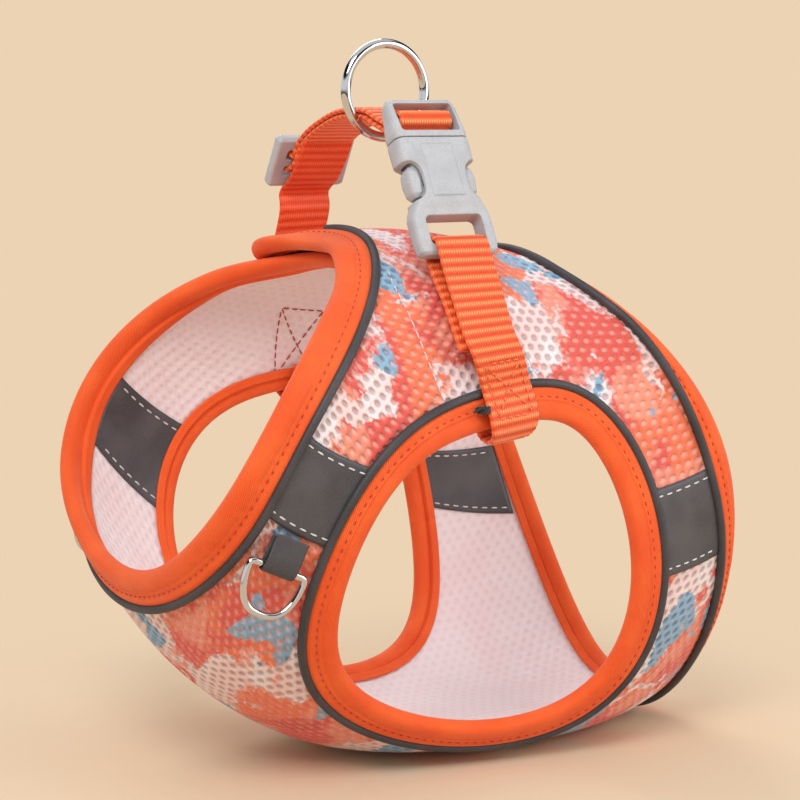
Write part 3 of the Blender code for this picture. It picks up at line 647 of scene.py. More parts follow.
def lining_material():
    """Pale air mesh, ribbed lengthwise."""
    sh = Shader("lining_mesh", (0.86, 0.68, 0.68), 0.75, Sheen_Weight=0.3)
    uv = sh.uv()
    net = sh.spread(cell_distance(sh, uv), 0.12, 0.42)
    tint = sh.noise(uv, 26.0, 2.0)
    colour = sh.mix(sh.spread(tint, 0.4, 0.65), (0.95, 0.87, 0.89), (0.93, 0.79, 0.81))
    # The holes are a little darker: painted shade.
    sh.set("Base Color", sh.mix(net, sh.multiplied(colour, (0.96, 0.94, 0.95)), colour))
    ribs = sh.node("ShaderNodeTexWave", {"Vector": sh.scaled(uv, (1.0, 900.0, 0.0)), "Scale": 1.0},
                   "Fac", bands_direction="Y")
    sh.bump(sh.math("ADD", net, sh.times(ribs, 0.3)), 0.0003, 0.6)
    return sh.material


def binding_material():
    """Soft knit tape: fine slanting ribs with a velvety sheen."""
    sh = Shader("orange_binding", (0.9, 0.1, 0.01), 0.72, Sheen_Weight=0.35, Sheen_Roughness=0.4,
                Sheen_Tint=(1.0, 0.55, 0.35))
    uv = sh.uv()
    knit = sh.node("ShaderNodeTexWave", {"Vector": sh.scaled(uv, (900.0, 620.0, 0.0)), "Scale": 1.0,
                                         "Distortion": 0.6, "Detail": 1.0}, "Fac", bands_direction="DIAGONAL")
    grain = sh.noise(sh.scaled(uv, (2600.0, 1500.0, 0.0)), 1.0, 1.0)
    worn = sh.noise(uv, 60.0, 3.0)
    colour = sh.mix(sh.spread(worn, 0.35, 0.7), (0.93, 0.105, 0.010), (1.0, 0.145, 0.018))
    fine = sh.math("ADD", sh.times(knit, 0.6), sh.times(grain, 0.5))
    # Darker where the knit is low: painted shade in its hollows.
    colour = sh.mix(sh.spread(fine, 0.2, 0.8, 0.35, 0.0), colour, (0.55, 0.035, 0.004))
    sh.set("Base Color", colour)
    sh.bump(fine, 0.00018, 0.8)
    return sh.material


def webbing_material(name, ribs_and_light):
    """Webbing: raised bars across it, crossed by fine lengthwise threads. The last argument sets how raised
    the bars are and how much painted light lies on them: painted shade in the valleys, lighter bar tops and
    painted glints.
    """
    sh = Shader(name, (0.9, 0.13, 0.015), 0.42 + 0.2 * (1 - ribs_and_light), Sheen_Weight=0.15 * ribs_and_light)
    uv = sh.uv()
    along = sh.node("ShaderNodeSeparateXYZ", {"Vector": uv}, "X")
    across = sh.node("ShaderNodeSeparateXYZ", {"Vector": uv}, "Y")
    bar = sh.math("COSINE", sh.times(along, ROUND / WEB_BAR))
    thread = sh.math("COSINE", sh.times(across, ROUND / WEB_THREAD))
    cross = sh.noise(sh.scaled(uv, (2600.0, 1300.0, 0.0)), 1.0, 1.0)
    # Painted shade in the valleys between the bars, painted light on the bar tops.
    rib_valley_shade, plain_valley_shade = (0.73, 0.062, 0.005), (0.72, 0.050, 0.003)
    valley_shade = tuple(a + (b - a) * (1 - ribs_and_light) for a, b in zip(rib_valley_shade, plain_valley_shade))
    lit_bar_top = (0.83 + 0.14 * ribs_and_light, 0.07 + 0.08 * ribs_and_light, 0.018)
    colour = sh.mix(sh.spread(bar, -0.9, 0.3), valley_shade, lit_bar_top)
    # Painted glints where the threads run over the bar tops.
    glint = sh.times(sh.spread(bar, 0.2, 0.9), sh.spread(thread, -0.2, 0.9))
    colour = sh.mix(sh.times(glint, 0.75 * ribs_and_light), colour, (1.0, 0.54, 0.27))
    colour = sh.mix(sh.spread(cross, 0.52, 0.8, 0.0, 0.4), colour, (0.80, 0.085, 0.008))
    sh.set("Base Color", colour)
    height = sh.math("ADD", sh.times(bar, 0.5 * ribs_and_light), sh.times(thread, 0.3))
    sh.bump(sh.math("ADD", height, sh.times(cross, 0.4)), 0.00020, 0.8)
    return sh.material


def tape_material(name, colour, roughness):
    """Dark reflective tape or cord with a fine bead grain."""
    sh = Shader(name, colour, roughness, Specular_IOR_Level=0.6)
    point = sh.object_point()
    grain = sh.noise(point, 3800.0, 1.0)
    cloud = sh.noise(point, 70.0, 2.0)
    light = tuple(min(1.0, c * 1.5 + 0.01) for c in colour)
    shade = sh.mix(sh.spread(cloud, 0.3, 0.7), colour, light)
    sh.set("Base Color", sh.mix(sh.spread(grain, 0.4, 0.9, 0.0, 0.25), shade, (0.22, 0.21, 0.23)))
    sh.bump(grain, 0.00008, 0.6)
    return sh.material


def thread_material(name, colour):
    """Twisted sewing thread."""
    sh = Shader(name, colour, 0.6, Sheen_Weight=0.3)
    twist = sh.noise(sh.object_point(), 2400.0, 1.0)
    dark = tuple(c * 0.7 for c in colour)
    sh.set("Base Color", sh.mix(sh.spread(twist, 0.35, 0.65), dark, colour))
    sh.bump(twist, 0.0001, 0.6)
    return sh.material


def plastic_material():
    """Grey moulded plastic with a fine dark speckle."""
    sh = Shader("grey_plastic", (0.50, 0.50, 0.53), 0.42, Specular_IOR_Level=0.5)
    point = sh.object_point()
    speckle = sh.noise(point, 2600.0, 1.0)
    cloud = sh.noise(point, 160.0, 2.0)
    shade = sh.mix(sh.spread(cloud, 0.3, 0.7), (0.445, 0.455, 0.485), (0.505, 0.515, 0.545))
    sh.set("Base Color", sh.mix(sh.spread(speckle, 0.50, 0.72, 0.0, 0.42), shade, (0.30, 0.30, 0.33)))
    sh.set("Roughness", sh.spread(cloud, 0.3, 0.7, 0.38, 0.5))
    sh.bump(speckle, 0.00020, 0.6)
    return sh.material


def chrome_material():
    """Polished chrome with faint smudges."""
    sh = Shader("chrome_wire", (0.66, 0.66, 0.67), 0.07, Metallic=1.0)
    smudge = sh.noise(sh.object_point(), 260.0, 3.0)
    sh.set("Roughness", sh.spread(smudge, 0.35, 0.75, 0.04, 0.14))
    return sh.material


MATS = {
    "mesh": print_material(),
    "lining": lining_material(),
    "binding": binding_material(),
    "webbing": webbing_material("orange_webbing", 1.0),
    # A darker copy of the webbing with plainer bars, for the far strap: painted shade.
    "shaded_plain_webbing": webbing_material("shaded_plain_orange_webbing", 0.25),
    "piping": tape_material("grey_piping", (0.027, 0.024, 0.028), 0.58),
    "strip": tape_material("reflective_strip", (0.042, 0.039, 0.046), 0.45),
    "patch": thread_material("hook_and_loop", (0.85, 0.10, 0.02)),
    "white_thread": thread_material("white_thread", (0.82, 0.80, 0.80)),
    "red_thread": thread_material("red_thread", (0.50, 0.030, 0.004)),
    "orange_thread": thread_material("orange_thread", (0.92, 0.20, 0.05)),
    "black_thread": thread_material("black_thread", (0.012, 0.012, 0.016)),
    "plastic": plastic_material(),
    "chrome": chrome_material(),
}


def add(obj, nodes=(), body_name="vest"):
    """Puts a finished piece on its body and hides the CAD nodes it stands for."""
    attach(obj, body_name)
    if nodes:
        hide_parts(*([nodes] if isinstance(nodes, str) else nodes))
    return obj


# Cloth


def round_length():
    """Distance round the middle of the vest at each w, from the left flap's edge."""
    w = np.linspace(-FLAP_REACH - CORNER_FLARE, ROUND + FLAP_REACH, 1500)
    pts = place(0.5, w, 0.0)
    return w, path_lengths(pts)


ROUND_W, ROUND_FAR = round_length()


def arm_share(u, w):
    """Distance from an armhole's centre as a share of its edge's distance, at the nearer armhole."""
    edge_u, edge_v = arm_edge(np.linspace(0.0, ROUND, 721))
    eu, ev = (edge_u - ARM_CENTRE[0]) / ARM_SIZE[0], (edge_v - ARM_CENTRE[1]) / ARM_SIZE[1]
    around, reach = np.unwrap(np.arctan2(ev, eu)), np.hypot(ev, eu)
    v = np.where(w <= math.pi, w, ROUND - w)
    dv, du = (v - ARM_CENTRE[1]) / ARM_SIZE[1], (u - ARM_CENTRE[0]) / ARM_SIZE[0]
    there = np.interp(np.mod(np.arctan2(dv, du) - around[0], ROUND) + around[0], around, reach)
    return np.hypot(dv, du) / there


def cloth_grid(w_low, w_high):
    """A fine grid of sites over one half of the vest, with its net coordinates in metres."""
    rows = int((np.interp(w_high, ROUND_W, ROUND_FAR) - np.interp(w_low, ROUND_W, ROUND_FAR)) / CLOTH_STEP)
    columns = int(CLOTH_SPAN / CLOTH_STEP)
    w = np.linspace(w_low, w_high, rows)[:, None]
    ends = []
    for u in (0.0, 1.0):
        _, turn, shift, _ = edge_shape(np.array(u), w)
        metres_per_u = np.linalg.norm(slopes(np.array(u), w)[0], axis=-1)
        ends.append((shift - CLOTH_UNDER_ROLL - CLOTH_TUCK * turn) / metres_per_u)
    first, last = ends
    u = -first + (1 + last + first) * np.linspace(0.0, 1.0, columns)
    w = flared(u, w + 0 * u)
    pts = place(u, w, 0.0)
    across = np.cumsum(np.linalg.norm(np.diff(pts, axis=1, prepend=pts[:, :1]), axis=-1), axis=1)
    across -= across[:, columns // 2][:, None]
    return u, w, across, np.interp(w, ROUND_W, ROUND_FAR)


def cloth_solid(name, u, w, uv, top, bottom, mat):
    """A closed cloth over the grid, open at the armhole, between two height fields."""
    count = u.size
    quads = grid_quads(*u.shape)[1]
    quads = quads[(arm_share(u, w).ravel()[quads] > ARM_CLOTH_EDGE).all(1)]
    edges = np.concatenate([quads[:, [k, (k + 1) % 4]] for k in range(4)])
    key = edges[:, 0].astype(np.int64) * count + edges[:, 1]
    back = edges[:, 1].astype(np.int64) * count + edges[:, 0]
    rim = edges[~np.isin(key, back)]
    walls = np.stack((rim[:, 1], rim[:, 0], rim[:, 0] + count, rim[:, 1] + count), -1)
    faces = np.concatenate((quads, quads[:, ::-1] + count, walls))
    verts = np.concatenate((place(u, w, top).reshape(-1, 3), place(u, w, bottom).reshape(-1, 3)))
    used = np.unique(faces)
    renumber = np.zeros(2 * count, np.int64)
    renumber[used] = np.arange(len(used))
    uvs = np.concatenate((uv, uv))[used]
    return mesh_piece(name, verts[used], renumber[faces][:, ::-1], mat, uvs)


def make_cloth():
    """Both halves of the vest: printed mesh outside, lining inside."""
    for side, w_low, w_high in (
        ("left", -FLAP_FABRIC_END, math.pi), ("right", math.pi, ROUND + FLAP_FABRIC_END),
    ):
        u, w, across, around = cloth_grid(w_low, w_high)
        uv = np.stack((across.ravel(), around.ravel()), -1)
        net = net_height(across, around)
        top = NET_HEIGHTS[0] + (NET_HEIGHTS[1] - NET_HEIGHTS[0]) * net
        outer = cloth_solid(f"{side}_mesh_cloth", u, w, uv, top, 0.0, MATS["mesh"])
        low = LINING_HEIGHTS[0] + (LINING_HEIGHTS[1] - LINING_HEIGHTS[0]) * (1 - net)
        inner = cloth_solid(f"{side}_lining_cloth", u, w, uv, LINING_FACE, low, MATS["lining"])
        add(outer, f"{side}_mesh_panel")
        add(inner, f"{side}_lining")
        for piece in (outer, inner):
            flat_area(u, w)


def flat_area(u, w):
    """Area of the middle surface outside the armhole."""
    pts = place(u, w, 0.0)
    a, b = np.diff(pts, axis=0)[:, :-1], np.diff(pts, axis=1)[:-1]
    area = np.linalg.norm(np.cross(a, b), axis=-1)
    return float(area[arm_share(u, w)[:-1, :-1] > ARM_CLOTH_EDGE].sum())


# Bindings and piping


def body_edge():
    """Sites once round the vest's outline: neck edge, right flap's edge, waist edge, left flap's edge."""
    low, high = -FLAP_REACH, ROUND + FLAP_REACH
    corner_u, corner_w = BODY_CORNER
    metres = np.array((0.13, 0.065))
    turn = np.linspace(0.0, math.pi / 2, 24)
    legs = []
    corners = ((0.0, high, 1, -1), (1.0, high, -1, -1), (1.0, low, -1, 1), (0.0, low, 1, 1))
    for k, (u, w, su, sw) in enumerate(corners):
        first, second = (np.sin(turn), np.cos(turn)) if k % 2 else (np.cos(turn), np.sin(turn))
        legs.append(np.stack((u + su * corner_u * (1 - first), w + sw * corner_w * (1 - second)), -1))
    return resample(np.vstack(legs) * metres, 0.002, closed=True)[0] / metres


def binding(name, u, w, outwards, roll):
    """The rolled edge tape along a closed path of sites, with soft puckers at its seam.

    roll gives, for sites (u, w), what edge_shape gives. It returns the object, the sites with their
    steps and flange widths for the piping, and the stitch line with its directions upwards.
    """
    u, w, far = site_path(u, w, BINDING_STEP, closed=True)
    su, sw = ring_steps(u, w, outwards)
    outline, round_far = resample(catmull(BINDING_SECTION, 8, closed=True), SECTION_STEP, closed=True)
    s, h = outline.T
    rng = np.random.default_rng(7)
    length = far[-1] + BINDING_STEP
    pucker = np.zeros_like(far)
    for wave in PUCKER_WAVES:
        cycles = max(1, round(length / wave))
        pucker += np.sin(ROUND * cycles * far / length + rng.uniform(0, ROUND)) * 0.5
    near_seam = np.exp(-(((s + 0.0020) / 0.0022) ** 2)) * (h > 0)
    bulge = PUCKER_HEIGHT * pucker[:, None] * near_seam[None, :]
    out = unit(outline - SECTION_MIDDLE)
    size, turn, _, flange = (np.broadcast_to(x, far.shape)[:, None] for x in roll(u, w))
    s = np.where(s < ROLL_FROM[0], ROLL_FROM[0] + (s - ROLL_FROM[0]) * np.where(h > 0, flange, 1.0), s)
    from_s, from_h = s - ROLL_FROM[0], h - ROLL_FROM[1]
    rolled = smooth_step(from_s / 0.0012)
    grown = 1 + (size - 1) * rolled
    lean = turn * rolled
    ss = ROLL_FROM[0] + grown * (from_s * np.cos(lean) + from_h * np.sin(lean)) + out[None, :, 0] * bulge
    hh = ROLL_FROM[1] + grown * (from_h * np.cos(lean) - from_s * np.sin(lean)) + out[None, :, 1] * bulge
    rings = place(u[:, None] + su[:, None] * ss, w[:, None] + sw[:, None] * ss, hh)
    uvs = np.stack(np.broadcast_arrays(far[:, None], round_far[None, :]), -1).reshape(-1, 2)
    obj = swept(name, rings, True, MATS["binding"], uvs)
    flange = flange[:, 0]
    groove_s, groove_h = ROLL_FROM[0] + (STITCH_GROOVE[0] - ROLL_FROM[0]) * flange, STITCH_GROOVE[1]
    line = place(u + su * groove_s, w + sw * groove_s, groove_h)
    up = unit(place(u + su * groove_s, w + sw * groove_s, groove_h + 0.001) - line)
    return obj, (u, w, su, sw, flange), (line, up)


def piping(name, sites, closed, node):
    """The cord along a binding's outer flange."""
    u, w, su, sw, flange = sites
    s, h = ROLL_FROM[0] + (PIPING_PLACE[0] - ROLL_FROM[0]) * flange, PIPING_PLACE[1]
    pts, above = (place(u + su * s, w + sw * s, height) for height in (h, h + 0.001))
    up = unit(above - pts)[::2]
    pts = pts[::2]
    rings = round_rings(pts, np.cross(up, headings(pts, closed)), up, PIPING_RADIUS, 14)
    add(swept(name, rings, closed, MATS["piping"]), node)


def bound_edge(name, stitches, path, outwards, roll, nodes):
    """A binding with its stitches; gives the places for its piping."""
    obj, sites, seam = binding(name, *path, outwards, roll)
    add(obj, nodes)
    dashes(stitches, *seam, "binding")
    return sites


def make_edges():
    """The vest's outline and both armholes: bindings, stitches and piping."""
    u, w = body_edge().T
    w = flared(u, w)
    su, sw = ring_steps(u, w, -1.0)
    shift = edge_shape(u, w)[2]
    nodes = ("neck_binding", "waist_binding", "left_flap_binding", "right_flap_binding")
    path = (u + su * shift, w + sw * shift)
    sites = bound_edge("neck_waist_binding", "neck_waist_stitches", path, -1.0, edge_shape, nodes)
    u, w = sites[:2]
    before_corner = FLAP_REACH - PIPING_STOP
    for name, edge in (("neck_piping", u < 0.5), ("waist_piping", u >= 0.5)):
        keep = edge & (w > -before_corner) & (w < ROUND + before_corner)
        order = np.argsort(w[keep])
        piping(f"{name}_cord", tuple(x[keep][order] for x in sites), False, name)
    u, w = arm_edge(np.linspace(0.0, ROUND, 400, endpoint=False))
    for side, outwards in (("left", -1.0), ("right", 1.0)):
        hole = f"{side}_armhole"
        sites = bound_edge(f"{hole}_roll", f"{hole}_stitches", (u, on_side(side, w)), outwards,
                           lambda u, w: ARM_ROLL, f"{hole}_binding")
        piping(f"{hole}_cord", sites, True, f"{hole}_piping")


# Reflective strips, ring tabs, patches and sewn lines


def arm_site(v, in_front, gap):
    """The site the gap outside the armhole's edge at the given v, on its front or rear side."""
    angle = np.linspace(math.pi / 2, 3 * math.pi / 2, 400) + (0.0 if in_front else math.pi)
    u, w = arm_edge(angle)
    su, sw = edge_steps(u, w, 1.0)
    u, w = u + su * gap, w + sw * gap
    order = np.argsort(w)
    return float(np.interp(v, w[order], u[order]))


def patch_grid(corners, count_u, count_w):
    """Sites over a four-sided patch: corners (u, w) at arm low, rim low, arm high, rim high."""
    a, b = np.meshgrid(np.linspace(0, 1, count_u), np.linspace(0, 1, count_w))
    c = np.array(corners)
    sites = (c[0] * ((1 - a) * (1 - b))[..., None] + c[1] * (a * (1 - b))[..., None]
             + c[2] * ((1 - a) * b)[..., None] + c[3] * (a * b)[..., None])
    return sites[..., 0], sites[..., 1]


def sheet_solid(name, u, w, low, high, mat):
    """A thin closed sheet over a grid of sites."""
    count = u.size
    i, quads = grid_quads(*u.shape)
    ring = np.concatenate((i[0, :-1], i[:-1, -1], i[-1, :0:-1], i[:0:-1, 0]))
    after = np.roll(ring, -1)
    walls = np.stack((ring, after, after + count, ring + count), -1)
    faces = np.concatenate((quads[:, ::-1], quads + count, walls))
    pts = place(u, w, high)
    verts = np.concatenate((place(u, w, low).reshape(-1, 3), pts.reshape(-1, 3)))
    x = np.cumsum(np.linalg.norm(np.diff(pts, axis=1, prepend=pts[:, :1]), axis=-1), axis=1)
    y = np.cumsum(np.linalg.norm(np.diff(pts, axis=0, prepend=pts[:1]), axis=-1), axis=0)
    uv = np.stack((x, y), -1).reshape(-1, 2)
    facing = np.cross(pts[0, 1] - pts[0, 0], pts[1, 0] - pts[0, 0]) @ normals(u[0, 0], w[0, 0])
    if (facing > 0) == (high > low):
        faces = faces[:, ::-1]
    return mesh_piece(name, verts, faces[:, ::-1], mat, np.concatenate((uv, uv)))


def sewn_line(name, u, w, height, kind):
    """A row of stitches over sites, on the surface's outer face, or its inner one at a negative height."""
    u, w, _ = site_path(u, w, 0.0006)
    away = normals(u, w) * (1.0 if height > 0 else -1.0)
    dashes(name, place(u, w, height), away, kind)


def make_strips():
    """The reflective strips before and behind each armhole, outside and inside."""
    for (where, face), (at_arm, at_rim) in STRIPS.items():
        gap, rim_u, front = STRIP_GAPS[face], STRIP_RIMS[where, face], where == "front"
        corners = [(arm_site(at_arm[0], front, gap), at_arm[0]), (rim_u, at_rim[0]),
                   (arm_site(at_arm[1], front, gap), at_arm[1]), (rim_u, at_rim[1])]
        low, high = STRIP_HEIGHTS[face]
        grid_u, grid_w = patch_grid(corners, 24, 24)
        for side in ("left", "right"):
            u, w = grid_u, on_side(side, grid_w)
            tape = sheet_solid(f"{side}_{where}_{face}_tape", u, w, low, high, MATS["strip"])
            add(tape, f"{side}_{where}_strip" if face == "outer" else ())
            for row, name in ((2, "upper"), (-3, "lower")):
                line = f"{side}_{where}_{name}_{face}_stitches"
                sewn_line(line, u[row, 1:-1], w[row, 1:-1], high, "strip")


def make_flap_lines():
    """Hook and loop patches between the flaps, and sewn lines on each half of the vest."""
    for name, low, high, first, last in PATCHES:
        u, w = np.meshgrid(np.linspace(*PATCH_U, 60), np.linspace(first, last, 24))
        add(sheet_solid(f"{name}_tape", u, w, low, high, MATS["patch"]), name)
    for side in ("left", "right"):
        for name, sites in SEAM_LINES:
            u, w = np.array(sites).T
            sewn_line(f"{side}_{name}_seam", u, on_side(side, w), SEAM_HEIGHT, "seam")
    for side in ("left", "right"):
        for k, (a, b) in enumerate(box_and_cross(INSIDE_BOX)):
            u, w = np.linspace(a, b, 12).T
            sewn_line(f"{side}_inside_box_{k}", u, on_side(side, w), INSIDE_BOX_HEIGHT, "inside_box")


def tab_path():
    """The left tab's way round the D-ring's bar, from under the front strip and back over it."""
    u, v = D_RING_AT
    turn = D_WIRE_RADIUS + TAB_THICK
    spread = float(np.linalg.norm(slopes(u, np.array(v))[1]))
    rise = D_RING_HEIGHT - turn - TAB_LOW
    fall = rise + turn - 0.0008
    stations = [(TAB_TOP + (v - TAB_TOP) * t, TAB_LOW + rise * smooth_step(t)) for t in np.linspace(0, 1, 9)]
    stations += [(v + turn * math.sin(a) / spread, D_RING_HEIGHT - turn * math.cos(a))
                 for a in np.linspace(0, math.pi, 10)[1:-1]]
    stations += [(v + (TAB_TOP - 0.02 - v) * t, D_RING_HEIGHT + turn - fall * smooth_step(t))
                 for t in np.linspace(0, 1, 9)]
    w, h = np.array(stations).T
    return place(u, w, h)


def make_tabs():
    """Each ring tab: a folded tape from under the front strip round the D-ring's straight bar."""
    u, v = D_RING_AT
    along, around = slopes(u, np.array(v))
    heading = unit(along * D_BAR_HEADING[0] + around * D_BAR_HEADING[1])
    for side, mirror in (("left", (1, 1, 1)), ("right", (1, -1, 1))):
        axis = heading * mirror
        obj, _ = strap(f"{side}_tab_tape", tab_path() * mirror, axis, TAB_WIDTH, TAB_THICK, MATS["strip"],
                       rib=0.0, step=0.0004)
        add(obj, f"{side}_ring_tab")
        bar = place(u, v, D_RING_HEIGHT) * mirror
        hang = unit(np.array((0.0, 0.0, -1.0)) + axis * axis[2])
        turn_by = np.linspace(0.0, math.pi, 40)
        reach = D_RING_HALF_WIDTH * np.sign(np.cos(turn_by)) * np.abs(np.cos(turn_by)) ** 0.75
        bow = bar + axis * reach[:, None] + hang * (D_RING_DROP * np.sin(turn_by) ** 0.85)[:, None]
        straight = bar + axis * np.linspace(-0.8, 0.8, 9)[:, None] * D_RING_HALF_WIDTH
        points = resample(np.vstack((straight, bow)), 0.0007, closed=True)[0]
        for _ in range(3):
            points = (np.roll(points, 1, 0) + points + np.roll(points, -1, 0)) / 3
        wire = tube(f"{side}_d_ring_wire", points, D_WIRE_RADIUS, True, MATS["chrome"], 16,
                    np.cross(axis, hang))
        add(wire, f"{side}_d_ring", f"{side}_d_ring")


# Webbing


def design(x, y, z):
    """A place given in the design's coordinates."""
    return np.array((x - DESIGN_X, y, z - DESIGN_Z))


def strap(name, centres, across, width, thick, mat, rib, step=0.00036, closed=False, flat=(0.0, 0.0),
          taper=(0.0, 1e-6, 1.0)):
    """Webbing along a path, with raised bars across it and fine threads along it.

    flat is the stretch (start, end) in metres where sewing has pressed the bars down, and taper is
    (start, end, part): only part of the width before start, all of it past end. It also returns a
    function that gives places on the faces: (along, sideways, face) to place and direction.
    """
    centres = np.asarray(centres, float)
    across = np.broadcast_to(np.asarray(across, float), centres.shape)
    both, far = resample(np.hstack((centres, across)), step, closed)
    pts, wide = both[:, :3], unit(both[:, 3:])
    for _ in range(4):
        inner = (np.roll(pts, 1, 0) + pts * 2 + np.roll(pts, -1, 0)) / 4
        pts = inner if closed else np.vstack((pts[:1], inner[1:-1], pts[-1:]))
    up = unit(np.cross(headings(pts, closed), wide))
    columns = 44 if rib else 20
    t = np.linspace(-1.0, 1.0, columns)
    edge_radius = 0.0008
    edge = np.clip((1 - np.abs(t)) * width / 2 / edge_radius, 0.0, 1.0)
    round_edge = np.sqrt(np.clip(1 - (1 - edge) ** 2, 0.02, 1.0))
    bars = 0.5 + 0.5 * np.cos(ROUND * far / WEB_BAR)
    bars = np.where((far > flat[0]) & (far < flat[1]), 0.45 + 0.12 * bars, bars)
    selvedge = smooth_step((np.abs(t) - 0.86) / 0.05)
    loops = 0.5 + 0.5 * np.cos(ROUND * far / WEB_BAR * 2)
    bar_field = bars[:, None] * (1 - selvedge) + loops[:, None] * selvedge
    threads = 0.5 + 0.5 * np.cos(ROUND * t * width / 2 / WEB_THREAD)
    lift = rib * (bar_field * (0.75 + 0.25 * threads)[None, :] - 0.35)
    half = thick / 2 * round_edge[None, :] + lift * round_edge[None, :]
    start, end, part = taper
    kept = part + (1 - part) * smooth_step((far - start) / (end - start))
    spread = pts[:, None] + wide[:, None] * (kept[:, None] * t * width / 2)[..., None]
    top = spread + up[:, None] * half[..., None]
    low = (spread - up[:, None] * half[..., None])[:, ::-1]
    rings = np.concatenate((top, low), axis=1)
    across_uv = np.concatenate((t, t[::-1])) * width / 2
    uvs = np.stack(np.broadcast_arrays(far[:, None], across_uv[None, :]), -1).reshape(-1, 2)
    obj = swept(name, rings, closed, mat, uvs)

    def surface(along, sideways, face):
        at = [np.stack([np.interp(along, far, v[:, k]) for k in range(3)], -1) for v in (pts, wide, up)]
        away = unit(at[2]) * face
        return at[0] + at[1] * np.asarray(sideways)[..., None] + away * (thick / 2 + rib * 0.5), away

    return obj, surface


def buckle_point(x, y, z):
    """A place given in the buckle's own frame."""
    c, s = math.cos(BUCKLE_LEAN), math.sin(BUCKLE_LEAN)
    bx, by, bz = BUCKLE_BASE
    return design(bx + x, by + y * c + z * s, bz - y * s + z * c)


def slider_point(y, z):
    """A place given in the slider's own frame, on its middle."""
    c, s = math.cos(SLIDER_LEAN), math.sin(SLIDER_LEAN)
    sx, sy, sz = SLIDER_CENTRE
    return design(sx, sy + y * c - z * s, sz + y * s + z * c)


def strap_foot(side):
    """Places round the armhole's bound edge under the strap, inside to outside, and the way across."""
    angle = STRAP_BASE_ANGLE + np.array((-0.02, 0.0, 0.02))
    u, w = arm_edge(angle)
    su, sw = edge_steps(u, w, -1.0)
    stations = ((-0.0085, -0.0044), (-0.0030, -0.0050), (0.0010, -0.0052), (0.0042, -0.0044),
                (0.0062, -0.0014), (0.0062, 0.0018), (0.0044, 0.0046), (0.0012, 0.0060),
                (-0.0030, 0.0060), (-0.0085, 0.0056))
    pts = np.array([place(u[1] + su[1] * d, w[1] + sw[1] * d, h) for d, h in stations])
    across = unit(place(u[2], w[2], 0.0) - place(u[0], w[0], 0.0))
    if side == "right":
        pts, across = pts * (1, -1, 1), across * (1, -1, 1)
    return pts, across if across[0] > 0 else -across


def sewn_strap(name, side, upper, mat, rib, box_name, box_face):
    """A strap from its foot at an armhole through the upper points, with its sewn box."""
    foot, across = strap_foot(side)
    path = catmull([*foot, *upper], 8)
    turns_from, turns_over = 70, 40
    t = smooth_step((np.arange(len(path)) - turns_from) / turns_over)[:, None]
    across = across * (1 - t) + np.array((1.0, 0.0, 0.0)) * t
    obj, face = strap(name, path, across, WEB_WIDTH, WEB_THICK, MATS[mat], rib, flat=SEWN_BOX,
                      taper=STRAP_TAPER)
    edge = WEB_WIDTH / 2 - SEWN_MARGIN
    start, end = SEWN_BOX
    lines = box_and_cross(((start, -edge), (start, edge), (end, edge), (end, -edge)))
    for k, (a, b) in enumerate(lines):
        along, sideways = np.linspace(a, b, 40).T
        pts, away = face(along, sideways, box_face)
        dashes(f"{box_name}_{k}", pts, away, "strap_box")
    return obj


def make_near_strap():
    """The near strap: up to the socket, round its bar and back down inside."""
    bar = buckle_point(0.0, 0.0, SOCKET_BAR)
    turns = [(math.cos(a), math.sin(a)) for a in np.linspace(math.pi * 0.90, 0.0, 7)]
    path = [
        design(0.0088, -0.0630, 0.0385), design(ARCH_X, -0.0606, 0.0450), design(ARCH_X, -0.0552, 0.0545),
        buckle_point(0.0, -0.0034, -0.0060),
        *(bar + (buckle_point(0.0, y, z) - buckle_point(0, 0, 0)) * 0.0038 for y, z in turns),
        buckle_point(-0.0006, 0.0022, -0.0060), design(ARCH_X - 0.0012, -0.0520, 0.0535),
        design(ARCH_X - 0.0014, -0.0576, 0.0452), design(ARCH_X - 0.0010, -0.0604, 0.0398),
    ]
    obj = sewn_strap("near_strap", "left", path, "webbing", 0.00042, "near_strap_box", -1.0)
    add(obj, ("near_strap_loop", "near_strap_end"))


def make_far_strap():
    """The far strap: up to the slider and over its bar."""
    path = [
        design(0.0090, 0.0625, 0.0400), design(ARCH_X, 0.0545, 0.0600), design(ARCH_X, 0.0478, 0.0770),
        slider_point(-0.0020, -0.0110), slider_point(-0.0052, -0.0040), slider_point(-0.0072, 0.0050),
        slider_point(-0.0078, 0.0120),
    ]
    # Its webbing is the darker copy: painted shade.
    obj = sewn_strap("far_strap_webbing", "right", path, "shaded_plain_webbing", 0.00022, "far_strap_box", 1.0)
    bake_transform(obj)
    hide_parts("far_strap")


